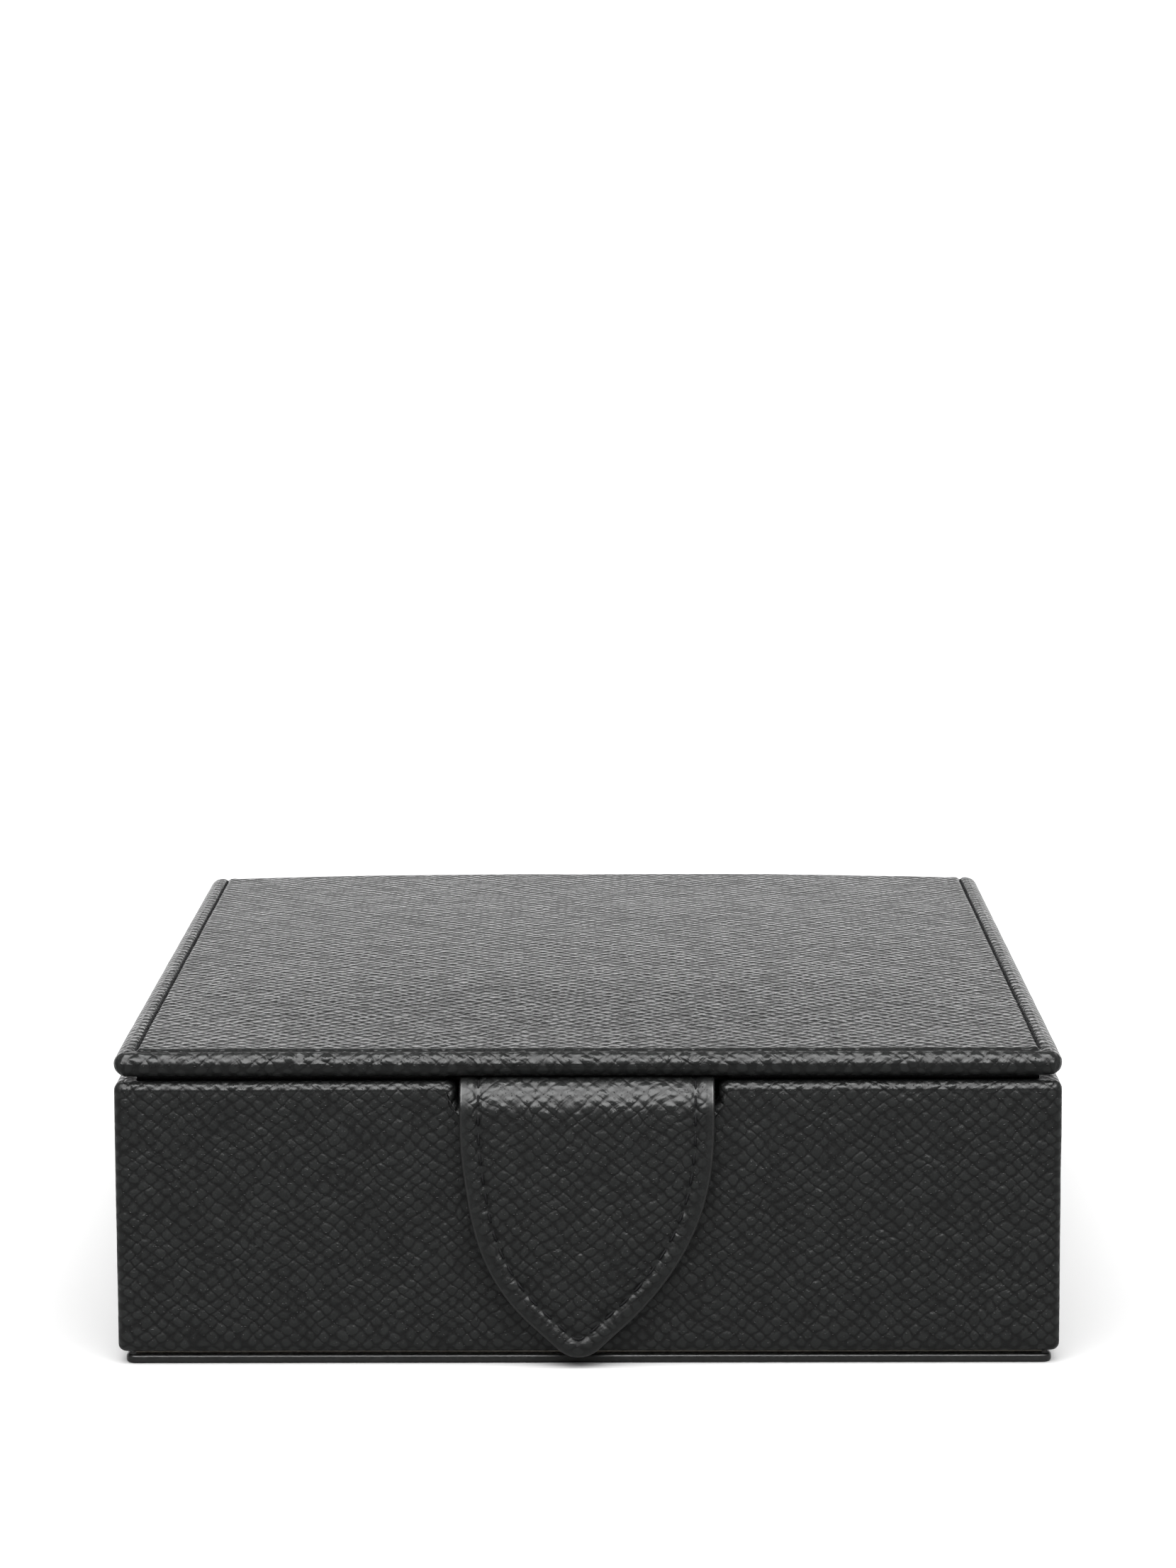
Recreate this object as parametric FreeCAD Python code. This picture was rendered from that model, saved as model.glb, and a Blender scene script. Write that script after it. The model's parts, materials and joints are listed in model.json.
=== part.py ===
"""Poker chip case: a leather-covered box with a leather-hinged lid, a pointed magnetic tab that folds
down over the front, and lined inserts that hold four bays of chips and two decks of cards.

Row frame, millimetres: +Z up, the tab faces -Y, the lid turns about the back edge at +Y, and the origin
is the centre of the face that the case stands on. Running it writes one STEP per sub-part to parts/.
"""

import FreeCAD, Part
import os
from FreeCAD import Vector
from math import cos, pi, radians, sin, tan

# ---------------------------------------------------------------- driving dimensions: the covered box
LID_W, LID_D = 170.0, 200.0          # the lid's outside, left to right and front to back
BODY_W, BODY_D = 169.8, 199.8        # the walled body's outside, 0.1 inside the lid all round
BODY_Z0, BODY_Z1 = 2.4, 51.8         # the body's underside and its leather rim
LINING_Z1 = 52.4                     # the wall linings stand proud of the rim and carry the lid
LID_Z0, LID_Z1 = 52.7, 57.3          # the lid's underside and its top along the edges
CROWN = 1.2                          # how far the padded top swells above LID_Z1
CROWN_FRONT, CROWN_BACK = 0.25, 0.8  # how much of that swell is left at the front and back edges
CROWN_PEAK = 1 / 3                   # where along the lid it is fullest, from the front
LEATHER = 0.9                        # cover leather
BOARD = 3.0                          # wall and floor board
LINING = 0.8                         # suede on card
TURN_IN = 12.0                       # how far cover leather is turned in under an edge
SPLIT = 0.05                         # clearance between pieces that meet edge to edge

BODY_CORNER, LID_CORNER = 1.8, 2.6   # corner radii seen from above
RIM_R, FOOT_R = 1.6, 1.3             # the body's top and bottom edge radii
LID_TOP_R, LID_FOOT_R = 2.1, 2.3     # the lid's top and bottom edge radii

BASE_T, BASE_SKIN = 1.6, 0.5         # base plate, and the leather round its board
BASE_INSET = 1.3                     # its edge stands this far inside the body's face
SPACER_INSET = 3.0                   # the card between body and base plate, which leaves a dark groove

# ---------------------------------------------------------------- lid seams and lid lining
SEAM_INSET = 3.8                     # side seams, from the lid's left and right edges
SEAM_W, SEAM_DEPTH = 0.9, 0.35       # the groove that a row of stitches lies in
SEAM_FRONT, SEAM_BACK = 3.8, 2.6     # where the side seams stop short of the front and back edges
STITCH_PITCH, STITCH_L, THREAD_R = 3.2, 2.5, 0.22
SIDE_CORE_END = 3.0                  # the side strips' cores stop this far from the front and back
SIDE_CORE_R = 0.5
PAD_T = 0.6                          # lid padding at its thinnest
LINER_T, LINER_GAP = 1.4, 0.8        # lid lining panel, and its clearance inside the wall linings
LINER_CORNER = 1.5

# ---------------------------------------------------------------- tab and the notch it passes through
TAB_HALF_W, TAB_TIP_Z = 22.8, 2.1
TAB_SHOULDER_Z = 44.7                # where its straight sides start to curve in
TAB_ARCS = ((67.0, radians(14.0)), (41.0, radians(47.5)))    # arcs down a side: radius, slope at the end
TAB_T, TAB_FACE_T, TAB_CORE_T = 2.4, 0.8, 1.0
TAB_EDGE_R = 0.7                     # rounding of its front edge
TAB_GAP = 0.6                        # air between the tab and the front wall
TAB_CORE_IN, TAB_BACK_IN = 1.2, 1.7  # how far core and back leather stop inside the tab's edge
TAB_CORE_DROP = 2.0                  # how far below the bend the stiff core stops
TAB_SEAM_IN = 3.4                    # the tab's stitching, from its edge
BEND_R = 6.0                         # outer radius of the bend under the lid's front edge
ROOT_T, TONGUE_T = 2.0, 0.9          # the tab's root in the notch, and its tongue glued inside the lid
ROOT_BACK, TONGUE_BACK = -94.6, -80.0
NOTCH_HALF_W, NOTCH_Z, NOTCH_R = 23.6, 47.2, 1.8
CATCH_Z, CATCH_R, CATCH_T = 20.0, 7.0, 1.0      # steel disc set into the front wall
MAGNET_R = 6.0                                  # disc magnet in the tab's core

# ---------------------------------------------------------------- hinge
HINGE_HALF_W = 76.0                  # half the width of the leather that is the hinge
HINGE_Z0, HINGE_Z1 = 49.8, 55.0      # the stretch of it that bends
GUSSET_T, GUSSET_FRONT = 0.3, 96.1   # cloth lining folded into the gap behind the walls

# ---------------------------------------------------------------- inserts and contents
INSERT_D, INSERT_TOP, INSERT_EDGE = 190.0, 33.0, 0.6
INSERT_GAP = 0.1                     # between neighbouring inserts
RACK_W, RACK_END, RACK_FLOOR = 44.9, 2.5, 2.0
CHANNEL_R, DIVIDER_T = 20.0, 2.0
CHIP_R, CHIP_T, CHIP_PITCH, CHIP_EDGE = 19.5, 3.2, 3.3, 0.35
CHIPS_PER_BAY = 25
CARD_TRAY_W = 69.8
DECK_W, DECK_L, DECK_T, DECK_CORNER = 63.5, 88.9, 16.4, 3.2
WELL_W, WELL_L, WELL_Z, WELL_END = 64.7, 90.0, 24.6, 2.0

# ---------------------------------------------------------------- worked out from the above
BOARD_Z0, BOARD_Z1 = BODY_Z0 + LEATHER, BODY_Z1 - LEATHER
FLOOR_Z = BOARD_Z0 + BOARD + LINING                                   # top of the floor lining
BOARD_W, BOARD_D = BODY_W - 2 * LEATHER, BODY_D - 2 * LEATHER
INNER_W, INNER_D = BOARD_W - 2 * BOARD, BOARD_D - 2 * BOARD           # between the bare boards
LINER_W, LINER_D = INNER_W - 2 * (LINING + LINER_GAP), INNER_D - 2 * (LINING + LINER_GAP)
PANEL_W = LID_W - 2 * (SEAM_INSET + SEAM_W)                           # the lid between its seams

TAB_BACK_Y = -BODY_D / 2 - TAB_GAP
TAB_Y = TAB_BACK_Y - TAB_T                                            # the tab's face
BEND_Y, BEND_Z = TAB_Y + BEND_R, LID_Z0 - BEND_R                      # centre of the bend

RACK_X = CARD_TRAY_W / 2 + INSERT_GAP + RACK_W / 2
CHANNEL_Z = FLOOR_Z + RACK_FLOOR + CHANNEL_R
CHIP_Z = CHANNEL_Z - CHANNEL_R + CHIP_R
WELL_Y = INSERT_D / 2 - WELL_END - WELL_L / 2

SIDES = ((-1, "left"), (1, "right"))
ENDS = ((-1, "front"), (1, "back"))
FAR = 300.0                          # longer than the case: for cutters that only need to reach past it
TINY = 1e-6


# ---------------------------------------------------------------- helpers
def block(x0, x1, y0, y1, z0, z1):
    """A plain box between two corners."""
    return Part.makeBox(x1 - x0, y1 - y0, z1 - z0, Vector(x0, y0, z0))


def slab(width, depth, z0, z1, corner=0.0):
    """A plate centred on the Z axis, with its upright corners rounded."""
    plate = block(-width / 2, width / 2, -depth / 2, depth / 2, z0, z1)
    if not corner:
        return plate
    uprights = [e for e in plate.Edges if abs(e.BoundBox.ZLength - (z1 - z0)) < TINY]
    return plate.makeFillet(corner, uprights)


def rounded_at(shape, z, radius):
    """Rounds the edges of a solid that lie wholly at one height."""
    level = [e for e in shape.Edges if abs(e.BoundBox.ZMin - z) < TINY and abs(e.BoundBox.ZMax - z) < TINY]
    return shape.makeFillet(radius, level)


def disc(radius, x, y0, y1, z):
    """A round plate that lies across Y."""
    return Part.makeCylinder(radius, y1 - y0, Vector(x, y0, z), Vector(0, 1, 0))


def line(a, b):
    return Part.LineSegment(a, b).toShape()


def arc(a, via, b):
    return Part.Arc(a, via, b).toShape()


def swept(edges, x0, y0, way):
    """The prism of a closed outline, moved to start at x0, y0 and swept along a vector."""
    prism = Part.Face(Part.Wire(edges)).extrude(way)
    prism.translate(Vector(x0, y0, 0))
    return prism


def mirrored(shape):
    return shape.mirror(Vector(0, 0, 0), Vector(1, 0, 0))


def export(name, *solids):
    """Writes one node; several solids in it stay separate."""
    shape = solids[0] if len(solids) == 1 else Part.Compound(list(solids))
    shape.exportStep(os.path.join("parts", name + ".step"))
    print(f"{name:22s} {len(shape.Solids):3d} solid(s) {shape.Volume / 1000:9.3f} cm3  valid {shape.isValid()}")


# ---------------------------------------------------------------- base plate
def base_plate():
    """A leather-covered board under the body, held off it by a smaller card."""
    width, depth = BODY_W - 2 * BASE_INSET, BODY_D - 2 * BASE_INSET
    skin_z = BASE_T - BASE_SKIN
    plate = slab(width, depth, 0, BASE_T, BODY_CORNER)
    plate = rounded_at(rounded_at(plate, 0, BASE_SKIN), BASE_T, BASE_SKIN)
    board = slab(width - 2 * BASE_SKIN, depth - 2 * BASE_SKIN, BASE_SKIN, skin_z)
    board = board.common(slab(width, depth, 0, BASE_T, BODY_CORNER + BASE_SKIN))
    filler = slab(width - 2 * TURN_IN, depth - 2 * TURN_IN, skin_z, BASE_T)
    export("base_board", board)
    export("base_leather", plate.cut(board).cut(filler))
    export("base_filler_card", filler)
    export("base_spacer_card", slab(BODY_W - 2 * SPACER_INSET, BODY_D - 2 * SPACER_INSET, BASE_T, BODY_Z0))
    export("bottom_filler_card", slab(BODY_W - 2 * TURN_IN, BODY_D - 2 * TURN_IN, BODY_Z0, BOARD_Z0))


# ---------------------------------------------------------------- walls, floor and their lining
def notch(half_w, z0):
    """The cutter for the tab's notch: open at the top, round in its lower corners and eased at its mouth."""
    y0, y1 = -BODY_D / 2 - 1, -INNER_D / 2 + LINING + 1
    slot = block(-half_w, half_w, y0, y1, z0, LINING_Z1 + 1)
    lower = [e for e in slot.Edges if e.BoundBox.ZMax < z0 + TINY and e.BoundBox.XLength < TINY]
    slot = slot.makeFillet(NOTCH_R, lower)
    mouth = block(half_w, half_w + NOTCH_R, y0, y1, BODY_Z1 - NOTCH_R, LINING_Z1 + 1)
    mouth = mouth.cut(disc(NOTCH_R, half_w + NOTCH_R, y0, y1, BODY_Z1 - NOTCH_R))
    return slot.fuse([mouth, mirrored(mouth)])


def walls():
    """Four butt-jointed boards round a floor, the front one notched and bored for the catch plate."""
    hx, hy = BOARD_W / 2, BOARD_D / 2
    catch = disc(CATCH_R, 0, -hy, -hy + CATCH_T, CATCH_Z)
    front = block(-hx, hx, -hy, -hy + BOARD, BOARD_Z0, BOARD_Z1).cut(catch)
    front = front.cut(notch(NOTCH_HALF_W + LEATHER, NOTCH_Z - LEATHER))
    back = block(-hx, hx, hy - BOARD, hy, BOARD_Z0, BOARD_Z1)
    left = block(-hx, -hx + BOARD, -hy + BOARD, hy - BOARD, BOARD_Z0, BOARD_Z1)
    floor = slab(INNER_W, INNER_D, BOARD_Z0, BOARD_Z0 + BOARD)
    export("front_wall_board", front)
    export("back_wall_board", back)
    export("left_wall_board", left)
    export("right_wall_board", mirrored(left))
    export("floor_board", floor)
    export("catch_plate", catch)
    return front.fuse([back, left, mirrored(left), floor, catch])


def linings():
    """Suede-covered cards inside the boards; the wall linings stand proud of the rim."""
    hx, hy = INNER_W / 2, INNER_D / 2
    front = block(-hx, hx, -hy, -hy + LINING, FLOOR_Z, LINING_Z1).cut(notch(NOTCH_HALF_W, NOTCH_Z))
    back = block(-hx, hx, hy - LINING, hy, FLOOR_Z, LINING_Z1)
    left = block(-hx, -hx + LINING, -hy + LINING, hy - LINING, FLOOR_Z, LINING_Z1)
    export("floor_lining", slab(INNER_W, INNER_D, FLOOR_Z - LINING, FLOOR_Z))
    export("front_wall_lining", front)
    export("back_wall_lining", back)
    export("left_wall_lining", left)
    export("right_wall_lining", mirrored(left))


# ---------------------------------------------------------------- cover leather of the body
def body_leather(boards):
    """Leather over the walls, rim and notch, turned in under the bottom.

    The back wall's panel is a piece of its own, because it runs on up over the hinge to the lid.
    """
    skin = slab(BODY_W, BODY_D, BODY_Z0, BODY_Z1, BODY_CORNER)
    skin = rounded_at(rounded_at(skin, BODY_Z1, RIM_R), BODY_Z0, FOOT_R)
    skin = skin.cut(slab(INNER_W, INNER_D, BOARD_Z0, BODY_Z1 + 1))
    skin = skin.cut(slab(BODY_W - 2 * TURN_IN, BODY_D - 2 * TURN_IN, BODY_Z0 - 1, BOARD_Z0 + 1))
    skin = skin.cut(boards).cut(notch(NOTCH_HALF_W, NOTCH_Z))

    hinge_way = block(-HINGE_HALF_W, HINGE_HALF_W, BOARD_D / 2, FAR, HINGE_Z0 - SPLIT, FAR)
    back_way = block(-HINGE_HALF_W, HINGE_HALF_W, BOARD_D / 2, FAR, -FAR, HINGE_Z0 - SPLIT)
    under_way = block(-HINGE_HALF_W, HINGE_HALF_W, BODY_D / 2 - TURN_IN, FAR, -FAR, BOARD_Z0)
    spine_way = back_way.fuse(under_way)
    inside_way = block(-HINGE_HALF_W + SPLIT, HINGE_HALF_W - SPLIT, 0, FAR, -FAR, FAR)
    export("body_leather", skin.cut(hinge_way).cut(spine_way))
    export("spine_leather", skin.common(spine_way).common(inside_way))


# ---------------------------------------------------------------- inserts and what they hold
def channel(x, radius, half_l, top):
    """A half-round channel's volume, straight-sided above its centre."""
    bottom = disc(radius, x, -half_l, half_l, CHANNEL_Z)
    return bottom.fuse(block(x - radius, x + radius, -half_l, half_l, CHANNEL_Z, top)).removeSplitter()


def chip_rack(x):
    """A block with a half-round channel, closed at both ends."""
    rack = block(x - RACK_W / 2, x + RACK_W / 2, -INSERT_D / 2, INSERT_D / 2, FLOOR_Z, INSERT_TOP)
    rack = rounded_at(rack, INSERT_TOP, INSERT_EDGE)
    return rack.cut(channel(x, CHANNEL_R, INSERT_D / 2 - RACK_END, INSERT_TOP + 1))


def chip_bay(x, end):
    """One bay's chips, stood on edge against the divider."""
    chip = disc(CHIP_R, x, -CHIP_T / 2, CHIP_T / 2, CHIP_Z)
    chip = chip.makeChamfer(CHIP_EDGE, [e for e in chip.Edges if e.BoundBox.YLength < TINY])
    bay = []
    for n in range(CHIPS_PER_BAY):
        copy = chip.copy()
        copy.translate(Vector(0, end * (DIVIDER_T / 2 + CHIP_PITCH * (n + 0.5)), 0))
        bay.append(copy)
    return bay


def card_well_or_deck(width, length, z0, z1, end):
    plate = slab(width, length, z0, z1, DECK_CORNER)
    plate.translate(Vector(0, end * WELL_Y, 0))
    return plate


def inserts_and_contents():
    tray = rounded_at(slab(CARD_TRAY_W, INSERT_D, FLOOR_Z, INSERT_TOP), INSERT_TOP, INSERT_EDGE)
    for end, place in ENDS:
        tray = tray.cut(card_well_or_deck(WELL_W, WELL_L, WELL_Z, INSERT_TOP + 1, end))
        export("card_deck_" + place, card_well_or_deck(DECK_W, DECK_L, WELL_Z, WELL_Z + DECK_T, end))
    export("card_tray", tray)
    for side, hand in SIDES:
        x = side * RACK_X
        export(hand + "_chip_rack", chip_rack(x))
        export(hand + "_rack_divider", channel(x, CHANNEL_R, DIVIDER_T / 2, INSERT_TOP))
        for end, place in ENDS:
            export(f"chips_{hand}_{place}", *chip_bay(x, end))


# ---------------------------------------------------------------- lid
def crowned(width, z_edge, y_front, y_back):
    """The solid under a padded top: it swells from z_edge at its sides, and fades towards front and back."""
    hx, low, peak = width / 2, BODY_Z1, z_edge + CROWN
    across = swept([
        line(Vector(-hx, 0, low), Vector(hx, 0, low)),
        line(Vector(hx, 0, low), Vector(hx, 0, z_edge)),
        arc(Vector(hx, 0, z_edge), Vector(0, 0, peak), Vector(-hx, 0, z_edge)),
        line(Vector(-hx, 0, z_edge), Vector(-hx, 0, low)),
    ], 0, y_front, Vector(0, y_back - y_front, 0))
    y_peak = y_front + CROWN_PEAK * (y_back - y_front)
    z_front, z_back = z_edge + CROWN_FRONT * CROWN, z_edge + CROWN_BACK * CROWN
    lengthways = swept([
        line(Vector(0, y_front, low), Vector(0, y_back, low)),
        line(Vector(0, y_back, low), Vector(0, y_back, z_back)),
        line(Vector(0, y_back, z_back), Vector(0, y_peak, peak)),
        line(Vector(0, y_peak, peak), Vector(0, y_front, z_front)),
        line(Vector(0, y_front, z_front), Vector(0, y_front, low)),
    ], -hx, 0, Vector(width, 0, 0))
    return across.common(lengthways)


def seam_stitches(x, z):
    """A row of stitches along the lid's side."""
    y0, y1 = -LID_D / 2 + SEAM_FRONT, LID_D / 2 - SEAM_BACK
    count = int((y1 - y0) / STITCH_PITCH)
    slack = (y1 - y0 - count * STITCH_PITCH + STITCH_PITCH - STITCH_L) / 2
    feet = [Vector(x, y0 + slack + n * STITCH_PITCH, z) for n in range(count)]
    return [Part.makeCylinder(THREAD_R, STITCH_L, foot, Vector(0, 1, 0)) for foot in feet]


def lid():
    """Board and padding in a leather cover that is sewn down along both sides."""
    under, over = LID_Z0 + LEATHER, LID_Z1 - LEATHER
    pad_z = over - PAD_T
    front, back = -LID_D / 2 + LID_TOP_R, LID_D / 2 - LID_TOP_R
    seam_x = LID_W / 2 - SEAM_INSET

    shell = slab(LID_W, LID_D, LID_Z0, LID_Z1, LID_CORNER)
    shell = rounded_at(rounded_at(shell, LID_Z1, LID_TOP_R), LID_Z0, LID_FOOT_R)
    shell = shell.fuse(crowned(PANEL_W, LID_Z1, front, back).cut(slab(FAR, FAR, 0, over)))

    board = rounded_at(slab(PANEL_W, LID_D - 2 * LEATHER, under, pad_z), under, LEATHER)
    padding = crowned(PANEL_W, over, front, back).cut(slab(FAR, FAR, 0, pad_z))
    filler = slab(LID_W - 2 * TURN_IN, LID_D - 2 * TURN_IN, LID_Z0, under)
    core_y = LID_D / 2 - SIDE_CORE_END
    core = block(seam_x + SEAM_W, LID_W / 2 - LEATHER, -core_y, core_y, under, over)
    core = core.makeFillet(SIDE_CORE_R, [e for e in core.Edges if e.BoundBox.YLength > 1])

    groove = block(seam_x - SEAM_W / 2, seam_x + SEAM_W / 2, -LID_D / 2 + SEAM_FRONT, LID_D / 2 - SEAM_BACK,
                   LID_Z1 - SEAM_DEPTH, LID_Z1 + 1)
    hinge_way = block(-HINGE_HALF_W, HINGE_HALF_W, LID_D / 2 - LEATHER, FAR, LID_Z0 - 1, HINGE_Z1)
    leather = shell.cut(board).cut(padding).cut(filler).cut(hinge_way)
    for shape in (core, groove):
        leather = leather.cut(shape).cut(mirrored(shape))

    liner = slab(LINER_W, LINER_D, LID_Z0 - LINER_T, LID_Z0, LINER_CORNER)
    pocket_w = TAB_HALF_W + SPLIT
    pocket = block(-pocket_w, pocket_w, -FAR, TONGUE_BACK + SPLIT, LID_Z0 - TONGUE_T, LID_Z0)

    export("lid_board", board)
    export("lid_padding", padding)
    export("lid_leather", leather)
    export("lid_filler_card", filler)
    export("lid_lining_panel", liner.cut(pocket))
    for side, hand in SIDES:
        export(f"lid_{hand}_edge_core", core if side > 0 else mirrored(core))
        export(f"lid_{hand}_stitching", *seam_stitches(side * seam_x, LID_Z1 - SEAM_DEPTH + THREAD_R))


# ---------------------------------------------------------------- tab
def tab_outline():
    """The tab's outline, seen from the front: straight sides, tangent arcs down each side, a blunt point."""
    x, z, slope = TAB_HALF_W, TAB_SHOULDER_Z, 0.0
    right = [Vector(x, 0, BEND_Z + BEND_R), Vector(x, 0, z)]
    for radius, end in TAB_ARCS:
        cx, cz = x - radius * cos(slope), z + radius * sin(slope)
        right += [Vector(cx + radius * cos(a), 0, cz - radius * sin(a)) for a in ((slope + end) / 2, end)]
        x, z, slope = right[-1].x, right[-1].z, end
    tip_r = (TAB_TIP_Z - z + x / tan(slope)) / (1 / sin(slope) - 1)
    right.append(Vector(tip_r * cos(slope), 0, TAB_TIP_Z + tip_r * (1 - sin(slope))))
    left = [Vector(-p.x, 0, p.z) for p in right]

    edges = [line(left[0], right[0]), arc(right[-1], Vector(0, 0, TAB_TIP_Z), left[-1])]
    for top, shoulder, via, cheek, below, flank, chin in (right, left):
        edges += [line(top, shoulder), arc(shoulder, via, cheek), arc(cheek, below, flank), line(flank, chin)]
    return Part.Wire(Part.__sortEdges__(edges))


def tab_plate(inset, y0, y1, top=BEND_Z):
    """A plate of the tab's outline, taken in by inset, between two depths, and cut off at top."""
    wire = tab_outline()
    if inset:
        wire = wire.makeOffset2D(-inset)
    plate = Part.Face(wire).extrude(Vector(0, y1 - y0, 0))
    plate.translate(Vector(0, y0, 0))
    return plate.common(block(-FAR, FAR, -FAR, FAR, 0, top))


def tab_stitches():
    """Stitches laid one after another in the tab's groove, below the bend."""
    seam = tab_outline().makeOffset2D(-TAB_SEAM_IN)
    y = TAB_Y + SEAM_DEPTH - THREAD_R
    count = int(seam.Length / STITCH_PITCH)
    points = seam.discretize(2 * count + 1)
    stitches = []
    for foot, head in zip(points[0:-1:2], points[1::2]):
        way = (head - foot).normalize()
        middle = (foot + head) * 0.5
        if middle.z < BEND_Z - STITCH_L:
            start = middle - way * (STITCH_L / 2)
            stitches.append(Part.makeCylinder(THREAD_R, STITCH_L, Vector(start.x, y, start.z), way))
    return stitches


def tab():
    """Face leather turned round a stiff core and magnet, closed by a back leather and sewn near its edge."""
    core_y0 = TAB_Y + TAB_FACE_T
    core_y1 = core_y0 + TAB_CORE_T
    whole = tab_plate(0, TAB_Y, TAB_BACK_Y)
    rim = [e for e in whole.Edges if e.BoundBox.YMax < TAB_Y + TINY and e.BoundBox.ZMin < BEND_Z - 1]
    whole = whole.makeFillet(TAB_EDGE_R, rim)
    magnet = disc(MAGNET_R, 0, core_y0, core_y1, CATCH_Z)
    core = tab_plate(TAB_CORE_IN, core_y0, core_y1, BEND_Z - TAB_CORE_DROP).cut(magnet)
    back = tab_plate(TAB_BACK_IN, core_y1, TAB_BACK_Y)
    groove = tab_plate(TAB_SEAM_IN - SEAM_W / 2, TAB_Y - 1, TAB_Y + SEAM_DEPTH)
    groove = groove.cut(tab_plate(TAB_SEAM_IN + SEAM_W / 2, TAB_Y - 1, TAB_Y + SEAM_DEPTH))
    export("tab_face_leather", whole.cut(core).cut(magnet).cut(back).cut(groove))
    export("tab_core", core)
    export("tab_back_leather", back)
    export("tab_magnet", magnet)
    export("tab_stitching", *tab_stitches())


def tab_bend_and_root():
    """The stretch of the tab that flexes, and the root that is glued inside the lid."""
    def at(radius, turn):
        return Vector(0, BEND_Y - radius * sin(turn), BEND_Z + radius * cos(turn))
    r_in, half, quarter = BEND_R - ROOT_T, pi / 4, pi / 2
    bend = swept([
        arc(at(BEND_R, 0), at(BEND_R, half), at(BEND_R, quarter)),
        line(at(BEND_R, quarter), at(r_in, quarter)),
        arc(at(r_in, quarter), at(r_in, half), at(r_in, 0)),
        line(at(r_in, 0), at(BEND_R, 0)),
    ], -TAB_HALF_W, 0, Vector(2 * TAB_HALF_W, 0, 0))
    root = block(-TAB_HALF_W, TAB_HALF_W, BEND_Y, ROOT_BACK, LID_Z0 - ROOT_T, LID_Z0)
    tongue = block(-TAB_HALF_W, TAB_HALF_W, ROOT_BACK, TONGUE_BACK, LID_Z0 - TONGUE_T, LID_Z0)
    export("tab_bend", bend)
    export("tab_root", root.fuse(tongue).removeSplitter())


# ---------------------------------------------------------------- hinge
def hinge():
    """The leather between the back wall's panel and the lid, and the cloth folded into the gap inside it."""
    half, inner = HINGE_HALF_W - SPLIT, LID_D / 2 - LEATHER
    gusset = block(-half, half, GUSSET_FRONT, inner, BODY_Z1, LID_Z0)
    fold = block(-FAR, FAR, 0, inner - GUSSET_T, BODY_Z1 + GUSSET_T, LID_Z0 - GUSSET_T)
    export("hinge_leather", block(-half, half, inner, LID_D / 2 - SPLIT, HINGE_Z0, HINGE_Z1 - SPLIT))
    export("hinge_gusset", gusset.cut(fold))


def main():
    os.makedirs("parts", exist_ok=True)
    base_plate()
    boards = walls()
    linings()
    body_leather(boards)
    inserts_and_contents()
    lid()
    tab()
    tab_bend_and_root()
    hinge()


main()
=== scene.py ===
"""Looks of the poker chip case: leather, stitching, suede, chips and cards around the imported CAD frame.

Shapes are worked out in millimetres in the row frame (+Z up, the tab faces -Y, the lid hinges at +Y) and
scaled to metres when a mesh is made. Leather surfaces carry a "flat" attribute. Its first two values say
where each point lies on the uncut hide, in millimetres, so that the grain runs unbroken over every edge and
bend. Its third value is the smoothing: 1 where the grain is pulled flat, below 0 where a bend opens it.
"""

import json
from math import ceil, cos, hypot, pi, radians, sin, tan

import bmesh
import bpy
import numpy as np
from mathutils import Matrix, Vector


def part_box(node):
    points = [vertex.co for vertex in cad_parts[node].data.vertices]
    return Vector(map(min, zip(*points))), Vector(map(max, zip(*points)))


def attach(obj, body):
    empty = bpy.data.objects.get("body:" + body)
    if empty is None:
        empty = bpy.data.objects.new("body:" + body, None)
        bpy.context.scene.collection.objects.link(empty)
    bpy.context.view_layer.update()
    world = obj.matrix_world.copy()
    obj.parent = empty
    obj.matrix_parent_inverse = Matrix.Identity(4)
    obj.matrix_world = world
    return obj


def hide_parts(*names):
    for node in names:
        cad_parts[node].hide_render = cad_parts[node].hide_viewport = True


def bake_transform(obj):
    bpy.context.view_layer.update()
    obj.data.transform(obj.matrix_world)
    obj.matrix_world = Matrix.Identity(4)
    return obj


MM = 0.001
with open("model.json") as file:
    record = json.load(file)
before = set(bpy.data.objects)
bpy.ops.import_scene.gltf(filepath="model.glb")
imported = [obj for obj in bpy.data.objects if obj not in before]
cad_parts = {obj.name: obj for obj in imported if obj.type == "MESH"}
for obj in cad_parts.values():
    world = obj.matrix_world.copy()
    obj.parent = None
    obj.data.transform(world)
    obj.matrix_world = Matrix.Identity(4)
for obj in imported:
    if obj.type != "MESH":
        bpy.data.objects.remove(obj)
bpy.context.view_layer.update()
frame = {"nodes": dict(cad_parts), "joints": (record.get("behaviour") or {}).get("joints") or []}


def node_box(name):
    """Lowest and highest corner of a CAD node, in millimetres."""
    low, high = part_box(name)
    return low / MM, high / MM


# ---- sizes taken from the frame
LID_LOW, LID_HIGH = node_box("lid_leather")
BODY_LOW, BODY_HIGH = node_box("body_leather")
TAB_LOW, TAB_HIGH = node_box("tab_face_leather")
BEND_LOW, BEND_HIGH = node_box("tab_bend")
ROOT_LOW, ROOT_HIGH = node_box("tab_root")
GUSSET_LOW, GUSSET_HIGH = node_box("hinge_gusset")
STITCH_LOW, STITCH_HIGH = node_box("lid_right_stitching")
HINGE_HIGH = node_box("hinge_leather")[1]
BOARD_HIGH = node_box("front_wall_board")[1]
HINGE_Z = next(joint for joint in frame["joints"] if joint["name"] == "lid_hinge")["pos_m"][2] / MM

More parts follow.
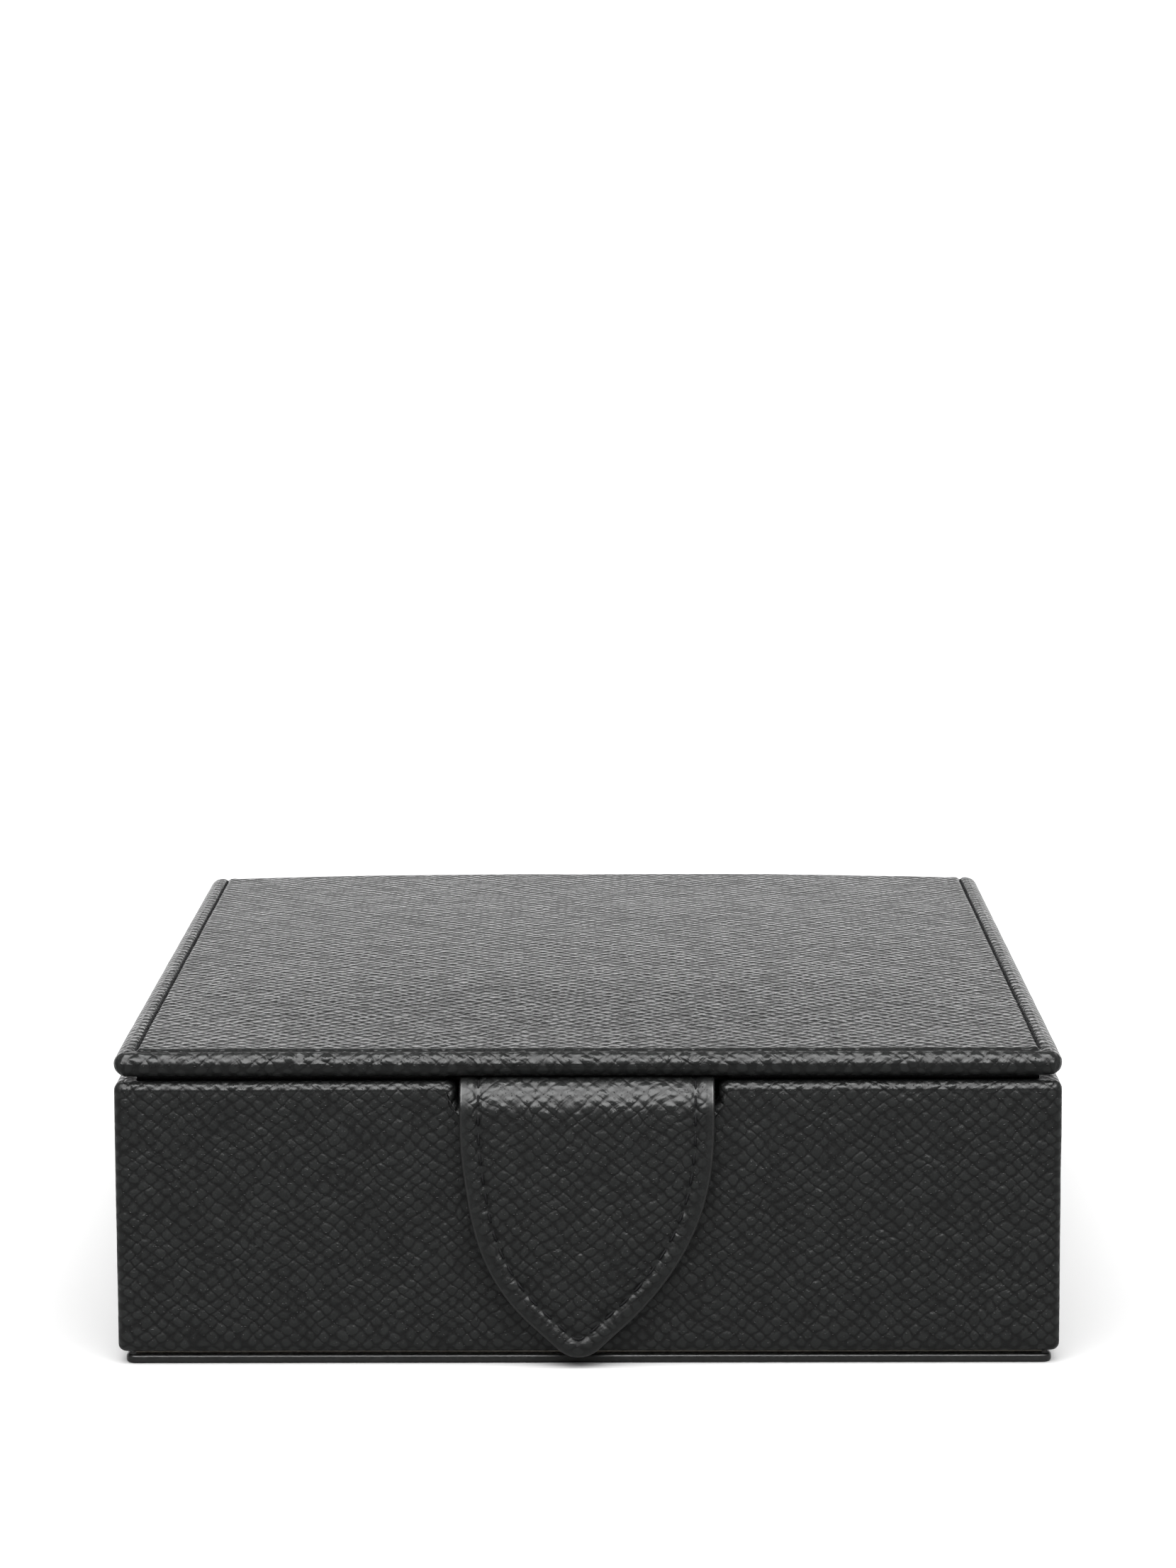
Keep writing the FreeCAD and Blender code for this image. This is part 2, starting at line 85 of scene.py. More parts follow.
SEAM_X = (STITCH_LOW.x + STITCH_HIGH.x) / 2
WALL_IN = BOARD_HIGH.y - BODY_LOW.y  # from the leather's outer face to the bare inner face of the boards
BEND_R = BEND_HIGH.z - BEND_LOW.z
BEND_Y, BEND_Z = BEND_LOW.y + BEND_R, BEND_LOW.z
TAB_T = TAB_HIGH.y - TAB_LOW.y
TAB_HALF_W = TAB_HIGH.x
ROOT_T = ROOT_HIGH.z - ROOT_LOW.z

# ---- other sizes, in millimetres
LEATHER = 0.9  # thickness of the leather on the back wall
LID_R = 2.6  # the lid's corner radius from above, and reach of its edge rounding
LID_TOP_R, LID_FOOT_R = 2.1, 2.3  # rounding of the lid's edge, above and below
LID_EDGE_Z = 57.2  # height of the lid's leather at its edges
CREASE_Y = LID_LOW.y + 3.8  # where the padded panel ends behind the lid's front edge
STITCH_PITCH, STITCH_L, THREAD_R = 3.2, 2.5, 0.2
BODY_R, RIM_R, FOOT_R = 1.8, 1.5, 1.3
NOTCH_HALF_W, NOTCH_Z, NOTCH_R = 23.6, 47.2, 1.8
TAB_ARCS = ((67.0, radians(14.0)), (41.0, radians(47.5)))  # radius, and slope of the edge at its end
TAB_SHOULDER_Z = 44.7  # where the tab starts to narrow
TAB_SEAM_IN, TAB_PITCH, TAB_STITCH_L = 3.4, 3.6, 2.7


# ---- small maths
def smooth(low, high, value):
    """0 below low, 1 above high, and an S-curve between."""
    t = np.clip((value - low) / (high - low), 0, 1)
    return t * t * (3 - 2 * t)


def bump(value, centre, half_width):
    """1 at the centre, falling smoothly to 0 at half_width either side."""
    return 1 - smooth(0, half_width, abs(value - centre))


def wobble(u, v, length, phase=0.0):
    """A gentle, repeatable unevenness between about -1 and 1, with features of the given length."""
    k = 2 * pi / length
    return (sin(k * u + 1.7 * sin(0.6 * k * v + phase) + phase)
            + sin(0.8 * k * v + 1.3 * sin(0.7 * k * u - phase) + 2 * phase)
            + sin(0.55 * k * (u + v) + 3 * phase)) / 3


ROUNDING = 1e-9  # slack, so that a whole number of steps stays whole
DIAGONAL = 0.7  # both parts of an outward way in the middle of a corner


def quarter(steps, first=0):
    """Angles from 0 to 90 degrees in equal steps, without the ones before the first."""
    return [pi / 2 * n / steps for n in range(first, steps + 1)]


def cornering(dx, dy):
    """0 where the outward way is along an axis, 1 in the middle of a corner."""
    return min(1.0, min(abs(dx), abs(dy)) / DIAGONAL)


def spread(*stops):
    """Grid positions from (position, spacing) stops: each stretch up to the next uses its own spacing."""
    out = []
    for (a, step), (b, _) in zip(stops, stops[1:]):
        count = max(1, ceil(abs(b - a) / step - ROUNDING))
        out += [a + (b - a) * n / count for n in range(count)]
    return out + [stops[-1][0]]


# ---- mesh building
def place_object(name, data):
    """A new object in the scene for this mesh, light or camera."""
    obj = bpy.data.objects.new(name, data)
    bpy.context.scene.collection.objects.link(obj)
    return obj


WELD = 1e-7  # metres between points that count as one


class Surface:
    """A mesh under construction: points, their place on the flat hide, and faces with a material index."""

    def __init__(self):
        self.points, self.flat, self.faces, self.slots = [], [], [], []

    def row(self, points, flat=None):
        """Adds points and returns their numbers. Without a third value their flat place isn't smoothed."""
        start = len(self.points)
        self.points += [tuple(point) for point in points]
        self.flat += [(*place, 0.0)[:3] for place in flat or [(0, 0)] * len(points)]
        return list(range(start, len(self.points)))

    def face(self, *corners, slot=0):
        kept = [c for n, c in enumerate(corners) if c != corners[n - 1]]
        if len(set(kept)) > 2:
            self.faces.append(kept)
            self.slots.append(slot)

    def join(self, a, b, closed=False, slot=0):
        count = len(a)
        for n in range(count if closed else count - 1):
            m = (n + 1) % count
            self.face(a[n], a[m], b[m], b[n], slot=slot)

    def loft(self, rows, closed=False, slot=0):
        for a, b in zip(rows, rows[1:]):
            self.join(a, b, closed, slot)

    def make(self, name, materials, weld=False):
        mesh = bpy.data.meshes.new(name)
        mesh.from_pydata([(x * MM, y * MM, z * MM) for x, y, z in self.points], [], self.faces)
        flat = mesh.attributes.new("flat", "FLOAT_VECTOR", "POINT")
        flat.data.foreach_set("vector", [c for place in self.flat for c in place])
        for material in materials:
            mesh.materials.append(material)
        mesh.polygons.foreach_set("material_index", self.slots)
        obj = place_object(name, mesh)
        tidy = bmesh.new()
        tidy.from_mesh(mesh)
        if weld:
            bmesh.ops.remove_doubles(tidy, verts=tidy.verts, dist=WELD)
        bmesh.ops.recalc_face_normals(tidy, faces=tidy.faces)
        tidy.to_mesh(mesh)
        tidy.free()
        mesh.polygons.foreach_set("use_smooth", [True] * len(mesh.polygons))
        return obj


# ---- node graphs
class Nodes:
    """A node tree, with short calls for the nodes used here."""

    def __init__(self, tree):
        self.tree = tree

    def set(self, node, values):
        for socket, value in values.items():
            if isinstance(value, bpy.types.NodeSocket):
                self.tree.links.new(value, node.inputs[socket])
            else:
                node.inputs[socket].default_value = value

    def add(self, kind, values=None, **settings):
        node = self.tree.nodes.new("ShaderNode" + kind)
        for key, value in settings.items():
            setattr(node, key, value)
        self.set(node, values or {})
        return node

    def math(self, operation, a, b=0.0):
        return self.add("Math", {0: a, 1: b}, operation=operation).outputs[0]

    def total(self, *terms):
        """The sum of (value, weight) terms."""
        out = 0.0
        for value, weight in terms:
            out = self.math("ADD", out, self.math("MULTIPLY", value, weight))
        return out

    def range(self, value, low, high, to_low=0.0, to_high=1.0):
        """An S-curve from to_low to to_high as the value goes from low to high."""
        return self.add("MapRange", {0: value, 1: low, 2: high, 3: to_low, 4: to_high},
                        interpolation_type="SMOOTHSTEP").outputs[0]

    def place(self, vector, scale=(1, 1, 1), turn=0.0, shift=(0, 0, 0)):
        return self.add("Mapping", {"Vector": vector, "Location": shift, "Rotation": (0, 0, turn),
                                    "Scale": scale}).outputs[0]

    def noise(self, vector, scale, detail=2.0, roughness=0.5, output=0):
        return self.add("TexNoise", {"Vector": vector, "Scale": scale, "Detail": detail,
                                     "Roughness": roughness}).outputs[output]

    def past(self, value, limit, fade, before=0.0, after=1.0):
        """One number before the limit and another after it, with a short fade either side."""
        return self.range(value, limit - fade, limit + fade, before, after)

    def mix_colour(self, factor, *colours):
        """From the first colour to the second as the factor goes from 0 to 1."""
        a, b = ((*colour, 1) if isinstance(colour, tuple) else colour for colour in colours)
        return self.add("Mix", {0: factor, 6: a, 7: b}, data_type="RGBA").outputs[2]


class Graph(Nodes):
    """A material and its nodes."""

    def __init__(self, name, base, roughness, specular=0.5, metallic=0.0):
        self.material = bpy.data.materials.new(name)
        self.material.use_nodes = True
        super().__init__(self.material.node_tree)
        self.shader = self.tree.nodes["Principled BSDF"]
        self.set(self.shader, {"Base Color": (*base, 1), "Roughness": roughness, "Metallic": metallic,
                               "Specular IOR Level": specular})

    def finish(self, height, depth, colour=None, roughness=None):
        """Sets what is given, adds bumps whose full height is the depth in millimetres, and hands over."""
        bumps = self.add("Bump", {"Height": height, "Distance": depth * MM, "Strength": 1.0}).outputs[0]
        inputs = {"Base Color": colour, "Roughness": roughness, "Normal": bumps}
        self.set(self.shader, {socket: value for socket, value in inputs.items() if value is not None})
        return self.material

    def flat_place(self):
        """Position on the uncut hide in millimetres, and the smoothing there."""
        flat = self.add("Attribute", attribute_name="flat", attribute_type="GEOMETRY").outputs["Vector"]
        part = self.add("SeparateXYZ", {0: flat}).outputs
        return self.add("CombineXYZ", {0: part["X"], 1: part["Y"]}).outputs[0], part["Z"]

    def solid_place(self):
        """Row-frame position in millimetres."""
        place = self.add("TexCoord").outputs["Object"]
        return self.place(place, scale=(1 / MM,) * 3)


GRAIN = 1.92  # spacing of the wavering diagonal furrows pressed into the leather
GRAIN_WAY = 50  # slope of a line across the furrows, in degrees
FURROW_ROUNDING = 1.25  # 1 is a sharp furrow, 2 one as round as the pads between
FURROW_SHALLOW = 0.45  # depth where a furrow is shallowest, as a share of its full depth
FINE_GRAIN, FINE_GRAIN_WAY = 0.46 * GRAIN, GRAIN_WAY - 3  # the finer lines inside the pads
DRIFT = {"scale": 0.13, "amount": 2.4, "detail": 1.0}  # slow wandering of the furrows
JITTER = {"scale": 0.75, "amount": 0.55, "detail": 0.0}  # quick wavering of each furrow
GRAIN_DEPTH, LID_GRAIN_DEPTH = 0.095, 0.42  # the lid's stretched grain reads deeper
# The furrows' black is painted shade standing in for the shadow down in the creases; the pads' black is the
# leather's own colour.
FURROW_PAINTED_SHADE, PAD_BLACK = (0.0016, 0.0017, 0.0017), (0.0142, 0.0150, 0.0147)
FURROW_ROUGH, PAD_ROUGH = 0.46, 0.33
SMOOTHED_SHADE = 0.4  # how far a fully smoothed place is from the furrows' painted shade to the pads' black: smoothed leather has no creases, so it gets less painted shade


def furrows(g, place, spacing, way, key, shallow):
    """One family of furrows: 0 in a furrow and up to 1 between two, deeper in some places than in others."""
    turned = g.place(place, scale=(1 / spacing,) * 3, turn=radians(way))
    across = g.add("SeparateXYZ", {0: turned}).outputs["X"]
    wave = g.math("ABSOLUTE", g.math("SINE", g.math("MULTIPLY", across, pi)))
    ridge = g.math("POWER", wave, FURROW_ROUNDING)
    patchy = g.noise(g.place(turned, scale=(0.7, 0.35, 1), shift=(key, 0, 0)), scale=1.0, detail=1.0)
    depth = g.range(patchy, 0.32, 0.62, shallow, 1.0)
    return g.math("MULTIPLY", ridge, depth), g.math("FLOOR", across)


def shifted(g, place, scale, amount, detail):
    """A place pushed about by noise, so that straight lines drawn there waver."""
    push = g.add("VectorMath", {0: g.noise(place, scale, detail, output=1), 1: (0.5, 0.5, 0.5)},
                 operation="SUBTRACT").outputs[0]
    push = g.add("VectorMath", {0: push, "Scale": amount}, operation="SCALE").outputs[0]
    return g.add("VectorMath", {0: place, 1: push}, operation="ADD").outputs[0]


def leather(name, depth=GRAIN_DEPTH):
    """Black leather with a pressed cross grain: pads between two families of furrows, and finer lines. The
    furrows are coloured darker than the pads as painted shade in the creases.
    """
    g = Graph(name, base=(0.006, 0.006, 0.006), roughness=0.38, specular=0.085)
    flat, smoothing = g.flat_place()
    bent = shifted(g, shifted(g, flat, **DRIFT), **JITTER)
    main, number = zip(*(furrows(g, bent, GRAIN, sign * GRAIN_WAY, 3 + sign, FURROW_SHALLOW)
                         for sign in (-1, 1)))
    minor, _ = zip(*(furrows(g, bent, FINE_GRAIN, sign * FINE_GRAIN_WAY, 9 + sign, 0.0) for sign in (-1, 1)))
    cell = g.add("CombineXYZ", {0: number[0], 1: number[1]}).outputs[0]
    own = g.add("TexWhiteNoise", {"Vector": cell}, noise_dimensions="2D").outputs["Value"]
    pad = g.math("MULTIPLY", *main)
    fine = g.noise(flat, scale=2.6, detail=3.0)
    speck = g.range(g.noise(flat, scale=1.9, detail=0.0), 0.73, 0.80)
    patch = g.noise(flat, scale=0.045, detail=3.0)

    pad_lift = g.math("ADD", 0.6, g.math("MULTIPLY", own, 0.5))
    height = g.total((g.math("ADD", *main), 0.5), (pad, pad_lift), (g.math("ADD", *minor), 0.20),
                     (fine, 0.17), (speck, 0.7))
    height = g.math("MULTIPLY", height, g.math("SUBTRACT", 1.0, smoothing))
    pad_shade = g.math("ADD", 0.55, g.total((own, 0.25), (patch, 0.25)))
    # Painted shade: the colour drops to the furrows' near black in the creases, where shadow would fall; the
    # pads keep their own uneven tone.
    shade = g.math("MULTIPLY", g.range(pad, 0.0, 0.32), pad_shade)
    shade = g.math("MAXIMUM", shade, g.math("MULTIPLY", smoothing, SMOOTHED_SHADE))
    rough = g.range(pad, 0, 0.4, FURROW_ROUGH, PAD_ROUGH)
    rough = g.math("ADD", rough, g.range(fine, 0.3, 0.7, -0.05, 0.07))
    return g.finish(height, depth, g.mix_colour(shade, FURROW_PAINTED_SHADE, PAD_BLACK), rough)


def smooth_leather(name):
    """Thin plain black leather, and edge paint: satin, with only a slight unevenness."""
    g = Graph(name, base=(0.011, 0.011, 0.011), roughness=0.36, specular=0.16)
    place = g.solid_place()
    fine = g.noise(place, scale=1.6, detail=4.0)
    patch = g.noise(place, scale=0.12, detail=2.0)
    colour = g.mix_colour(patch, (0.005, 0.005, 0.005), (0.010, 0.0105, 0.010))
    return g.finish(fine, 0.05, colour, g.range(fine, 0.3, 0.7, 0.30, 0.46))


def thread(name):
    """Waxed black sewing thread: fine twisted strands."""
    g = Graph(name, base=(0.004, 0.004, 0.004), roughness=0.75, specular=0.05)
    place = g.solid_place()
    twist = g.add("TexWave", {"Vector": place, "Scale": 2.4, "Distortion": 1.2, "Detail": 1.0},
                  bands_direction="DIAGONAL").outputs["Fac"]
    colour = g.mix_colour(twist, (0.002, 0.002, 0.002), (0.006, 0.006, 0.007))
    return g.finish(twist, 0.05, colour, g.range(twist, 0, 1, 0.80, 0.65))


def suede(name, dark, light):
    """Short-napped suede: soft mottling where the nap lies differently, and a faint sheen."""
    g = Graph(name, base=dark, roughness=0.95, specular=0.15)
    g.set(g.shader, {"Sheen Weight": 0.35, "Sheen Roughness": 0.55, "Sheen Tint": (*light, 1)})
    place = g.solid_place()
    nap = g.noise(place, scale=0.09, detail=4.0, roughness=0.6)
    fibre = g.noise(place, scale=5.5, detail=2.0)
    lie = g.total((nap, 0.75), (fibre, 0.35))
    return g.finish(fibre, 0.10, g.mix_colour(g.range(lie, 0.3, 0.8), dark, light))


def board(name, dark, light, grain):
    """Bare fibreboard or greyboard: specks and a slight fibre direction."""
    g = Graph(name, base=dark, roughness=0.85, specular=0.2)
    place = g.solid_place()
    fibre = g.noise(g.place(place, scale=grain), scale=1.0, detail=5.0, roughness=0.65)
    return g.finish(fibre, 0.08, g.mix_colour(g.range(fibre, 0.3, 0.7), dark, light))


def cloth(name):
    """Thin black book cloth in a plain weave."""
    g = Graph(name, base=(0.012, 0.012, 0.013), roughness=0.8, specular=0.25)
    g.set(g.shader, {"Sheen Weight": 0.3})
    height = weave(g, g.flat_place()[0], 0.9)
    return g.finish(height, 0.06, g.mix_colour(height, (0.006, 0.006, 0.006), (0.024, 0.024, 0.026)))


def steel(name):
    """Nickel-plated steel with faint turning marks."""
    g = Graph(name, base=(0.60, 0.59, 0.57), roughness=0.28, metallic=1.0)
    fine = g.noise(g.place(g.solid_place(), scale=(0.6, 6, 6)), scale=1.0, detail=3.0)
    return g.finish(fine, 0.01, roughness=g.range(fine, 0.3, 0.7, 0.22, 0.40))


def foam(name):
    """Open-celled padding foam."""
    g = Graph(name, base=(0.60, 0.56, 0.46), roughness=0.95, specular=0.1)
    cells = g.add("TexVoronoi", {"Vector": g.solid_place(), "Scale": 1.6}).outputs["Distance"]
    return g.finish(cells, 0.3, g.mix_colour(cells, (0.42, 0.38, 0.30), (0.66, 0.62, 0.52)))


CHIP_PITCH, CHIP_T = 3.3, 3.2  # from one chip to the next, and a chip's own thickness
CHIP_SPOTS = 6
SPOT_HALF, SPOT_FADE = 0.175, 0.005  # half a spot, as a share of the turn from one spot to the next
SPOT_IN_R = 13.5  # how far in a spot reaches from the rim
RING_R = 11.9, 12.6  # inner and outer radius of the ring round the inlay
PRINT_EDGE = 0.1  # half of the width over which a printed edge fades


def chip(name, node, body, spot, first):
    """Clay-composite chips: edge spots round the rim, turned differently on each chip, and a plain inlay."""
    g = Graph(name, base=body, roughness=0.55, specular=0.15)
    low, high = node_box(node)
    centre = (low + high) / 2
    place = g.add("SeparateXYZ", {0: g.solid_place()}).outputs
    dx = g.math("SUBTRACT", place["X"], centre.x)
    dz = g.math("SUBTRACT", place["Z"], centre.z)
    start = low.y - (CHIP_PITCH - CHIP_T) / 2
    number = g.math("FLOOR", g.math("DIVIDE", g.math("SUBTRACT", place["Y"], start), CHIP_PITCH))
    own = g.add("TexWhiteNoise", {"W": g.math("ADD", number, first)}, noise_dimensions="1D").outputs["Value"]
    around = g.math("DIVIDE", g.math("ARCTAN2", dz, dx), 2 * pi / CHIP_SPOTS)
    turn = g.math("ADD", around, g.math("MULTIPLY", own, 7.0))
    swing = g.math("ABSOLUTE", g.math("SUBTRACT", g.math("FRACT", turn), 0.5))
    radius = g.math("SQRT", g.math("ADD", g.math("MULTIPLY", dx, dx), g.math("MULTIPLY", dz, dz)))
    in_spot = g.math("MULTIPLY", g.past(swing, SPOT_HALF, SPOT_FADE, 1, 0),
                     g.past(radius, SPOT_IN_R, PRINT_EDGE))
    ring = g.math("MULTIPLY", g.past(radius, RING_R[0], PRINT_EDGE),
                  g.past(radius, RING_R[1], PRINT_EDGE, 1, 0))
    speck = g.noise(g.solid_place(), scale=1.4, detail=4.0)
    clay = g.range(speck, 0.35, 0.65)
    base = g.mix_colour(clay, tuple(0.82 * c for c in body), body)
    light = g.mix_colour(clay, tuple(0.9 * c for c in spot), spot)
    hatch = g.add("TexWave", {"Vector": g.solid_place(), "Scale": 0.8}, bands_direction="DIAGONAL")
    height = g.total((speck, 0.6), (hatch.outputs["Fac"], 0.25))
    colour = g.mix_colour(g.math("MAXIMUM", in_spot, ring), base, light)
    return g.finish(height, 0.05, colour, g.range(speck, 0.3, 0.7, 0.46, 0.62))


def weave(g, flat, scale):
    """Threads or ribs both ways across a sheet."""
    ways = [g.add("TexWave", {"Vector": flat, "Scale": scale}, bands_direction=way).outputs["Fac"]
            for way in ("X", "Y")]
    return g.math("MULTIPLY", *ways)


CARD_WHITE = (0.56, 0.55, 0.53)
CARD_PRINT = 27.65, 40.35  # half width and half length of the printed panel
CARD_BAND = 1.2  # width of the solid band round the lattice
LATTICE_PITCH, LATTICE_SLOPE = 3.0, 0.75


def card_back(name, ink):
    """Coated card: a white border round a plain lattice of diamonds."""
    g = Graph(name, base=CARD_WHITE, roughness=0.45, specular=0.15)
    flat = g.flat_place()[0]
    place = g.add("SeparateXYZ", {0: flat}).outputs
    inside, band, lines = [], [], []
    for axis, half in zip("XY", CARD_PRINT):
        away = g.math("ABSOLUTE", place[axis])
        inside.append(g.past(away, half, PRINT_EDGE / 2, 1, 0))
        band.append(g.past(away, half - CARD_BAND, PRINT_EDGE / 2))
    for sign in (1, -1):
        cross = g.math("ADD", place["X"], g.math("MULTIPLY", place["Y"], sign * LATTICE_SLOPE))
        share = g.math("FRACT", g.math("DIVIDE", cross, LATTICE_PITCH))
        lines.append(g.math("ABSOLUTE", g.math("SUBTRACT", share, 0.5)))
    lattice = g.math("MAXIMUM", *(g.range(line, 0.40, 0.43) for line in lines))
    dots = g.math("MULTIPLY", *(g.range(line, 0.10, 0.13, 1, 0) for line in lines))
    between = g.math("SUBTRACT", 1.0, g.math("MAXIMUM", lattice, dots))
    inked = g.math("MAXIMUM", g.math("MAXIMUM", *band), between)
    printed = g.math("MULTIPLY", g.math("MULTIPLY", *inside), inked)
    return g.finish(weave(g, flat, 0.6), 0.02, g.mix_colour(printed, CARD_WHITE, ink))


def card_edge(name):
    """The cut edges of a stack of cards: thin layers, a little yellowed."""
    g = Graph(name, base=(0.50, 0.49, 0.46), roughness=0.7, specular=0.1)
    fibre = g.noise(g.place(g.solid_place(), scale=(0.4, 0.4, 5)), scale=1.0, detail=3.0)
    return g.finish(fibre, 0.03, g.mix_colour(fibre, (0.40, 0.39, 0.36), (0.56, 0.55, 0.52)))


# ---- lid cover
CROWN = 1.15  # rise of the padded panel in its middle
FRONT_DROP, CREST_LIP = 0.17, 0.15  # step down in front of the crest line, and the swelling along it
GROOVE_DEPTH, GROOVE_HALF_W = 0.34, 0.75
STITCH_PULL = 0.14  # how much deeper the sewn groove is where a stitch dives in
OUTER_SWELL, INNER_SWELL = 0.07, 0.12  # leather pushed up on either side of the groove
CREST_SMOOTHING, BORDER_SMOOTHING, BACK_SMOOTHING = 0.75, 0.75, 0.78
EDGE_SMOOTHING, CORNER_SMOOTHING, TURNED_IN_SMOOTHING = 0.45, 0.7, 0.8
LID_STRETCH = 1.08, 1.2  # the leather is pulled over the padding, which spreads its grain
LID_WAIST_Z = LID_LOW.z + LID_FOOT_R  # where the lid's edge is widest


def lid_top(x, y):
    """Height of the lid's leather, over the part that isn't edge rounding."""
    beyond = abs(x) - SEAM_X
    across = 1 - min(1.0, abs(x) / (SEAM_X - 1.0)) ** 3
    rise = smooth(LID_LOW.y + 4, LID_LOW.y + 70, y) * (1 - 0.15 * smooth(40, LID_HIGH.y, y))
    beside = smooth(0, 0.6, beyond)
    front_step = -FRONT_DROP * (1 - smooth(CREASE_Y - 0.5, CREASE_Y + 6.0 * beside, y))
    lip = CREST_LIP * bump(y, CREASE_Y + 0.5, 0.9) * (1 - beside)
    stitch_end = 0.5 + 0.5 * cos(2 * pi * (y - STITCH_LOW.y) / STITCH_PITCH)
    depth = GROOVE_DEPTH + STITCH_PULL * stitch_end + 0.05 * wobble(x, y, 9)
    groove = -depth * bump(beyond, 0, GROOVE_HALF_W)
    swell = OUTER_SWELL * bump(beyond, 1.35, 1.1) + INNER_SWELL * bump(beyond, -1.3, 1.3)
    sewn = smooth(CREASE_Y - 0.6, CREASE_Y + 0.3, y)
    uneven = 0.05 * wobble(x, y, 31) + 0.02 * wobble(x, y, 9, 2.0)
    return LID_EDGE_Z + CROWN * across * rise + front_step + lip + (groove + swell) * sewn + uneven


def perimeter(xs, ys, steps):
    """Samples anticlockwise round a rectangle from its front left: (x, y, outward x, outward y)."""
    samples = []
    sides = [([(x, ys[0]) for x in xs], -pi / 2), ([(xs[-1], y) for y in ys], 0.0),
             ([(x, ys[-1]) for x in reversed(xs)], pi / 2), ([(xs[0], y) for y in reversed(ys)], pi)]
    for points, way in sides:
        samples += [(x, y, cos(way), sin(way)) for x, y in points]
        samples += [(*points[-1], cos(way + turn), sin(way + turn)) for turn in quarter(steps, 1)[:-1]]
    return samples


def mitred(x, y, high, corner_r, out):
    """Draws a point of a turned-in row back to the mitre where two sides meet, so they never overlap."""
    if out >= 0:
        return x, y
    limit_x, limit_y = high.x - corner_r + out, high.y - corner_r + out
    return float(np.clip(x, -limit_x, limit_x)), float(np.clip(y, -limit_y, limit_y))


def top_smoothing(x, y):
    """Smoothing on top of the lid: along the crest, outside the stitching and towards the back."""
    crest = CREST_SMOOTHING * bump(y, CREASE_Y + 0.5, 1.1)
    border = BORDER_SMOOTHING * smooth(0.4, 1.6, abs(x) - SEAM_X)
    back = BACK_SMOOTHING * smooth(-75, 60, y)
    return float(max(crest, border, back))


def edge_smoothing(up, dx, dy):
    """Smoothing round the lid's edge: most below its middle, round its corners and down its sides."""
    if up == 1:
        return 0.0
    below = TURNED_IN_SMOOTHING * (1 - smooth(-0.15, 0.35, up))
    round_sides = CORNER_SMOOTHING * max(cornering(dx, dy), abs(dx))
    return float(max(EDGE_SMOOTHING, below, round_sides))


def edge_z(top, up):
    """Height on the lid's edge: up is 1 at the top, 0 where the edge is widest and -1 underneath."""
    return LID_WAIST_Z + up * ((top - LID_WAIST_Z) if up > 0 else LID_FOOT_R)


def lid_cover():
    """One leather skin over the lid: crowned top, stitched borders, rounded edges, turned-in underside."""
    ax, ay = LID_HIGH.x - LID_R, LID_HIGH.y - LID_R
    half_x = spread((0, 3), (SEAM_X - 5, 1.2), (SEAM_X - 2.2, 0.45), (SEAM_X - 0.9, 0.18),
                    (SEAM_X + 0.9, 0.2), (ax, 1))
    xs = [-x for x in reversed(half_x[1:])] + half_x
    ys = spread((-ay, 0.16), (CREASE_Y + 1.4, STITCH_PITCH / 6), (ay, 1))
    s = Surface()
    grid = [s.row([(x, y, lid_top(x, y)) for x in xs], [(x, y, top_smoothing(x, y)) for x in xs])
            for y in ys]
    s.loft(grid)

    samples = perimeter(xs, ys, 6)
    column = {round(x, 6): n for n, x in enumerate(xs)}
    line = {round(y, 6): n for n, y in enumerate(ys)}
    rows = [[grid[line[round(y, 6)]][column[round(x, 6)]] for x, y, _, _ in samples]]
    section = [(0.25, 1.0), (LID_R - LID_TOP_R, 1.0)]
    section += [(LID_R - LID_TOP_R * (1 - sin(a)), cos(a)) for a in quarter(10, 1)]
    section += [(LID_R - LID_FOOT_R * (1 - cos(a)), -sin(a)) for a in quarter(8, 1)]
    run, last = 0.0, (0.0, LID_EDGE_Z)
    for out, up in section:
        level = edge_z(LID_EDGE_Z, up)
        run += hypot(out - last[0], level - last[1])
        last = (out, level)
        points, flat = [], []
        for x, y, dx, dy in samples:
            grow = 0.0 if up > 0.9 else 0.05 * wobble(x + y, out, 14, 1.0) * (1 - abs(up)) - 0.04
            px, py = x + dx * (out + grow), y + dy * (out + grow)
            points.append((px, py, edge_z(lid_top(px, py), up)))
            flat.append((x + dx * run, y + dy * run, edge_smoothing(up, dx, dy)))
        rows.append(s.row(points, flat))
    for inward in (1.5, 5.0, 9.0):
        points = [(*mitred(x - dx * inward, y - dy * inward, LID_HIGH, LID_R, -inward), LID_LOW.z)
                  for x, y, dx, dy in samples]
        flat = [(x + dx * (run + inward), y + dy * (run + inward), TURNED_IN_SMOOTHING)
                for x, y, dx, dy in samples]
        rows.append(s.row(points, flat))
    s.loft(rows, closed=True)
    s.flat = [(u / LID_STRETCH[0], v / LID_STRETCH[1], smoothing) for u, v, smoothing in s.flat]
    return s.make("lid_cover", [LID_LEATHER], weld=True)


# ---- stitches
STITCH_STATIONS, THREAD_SIDES = 8, 7


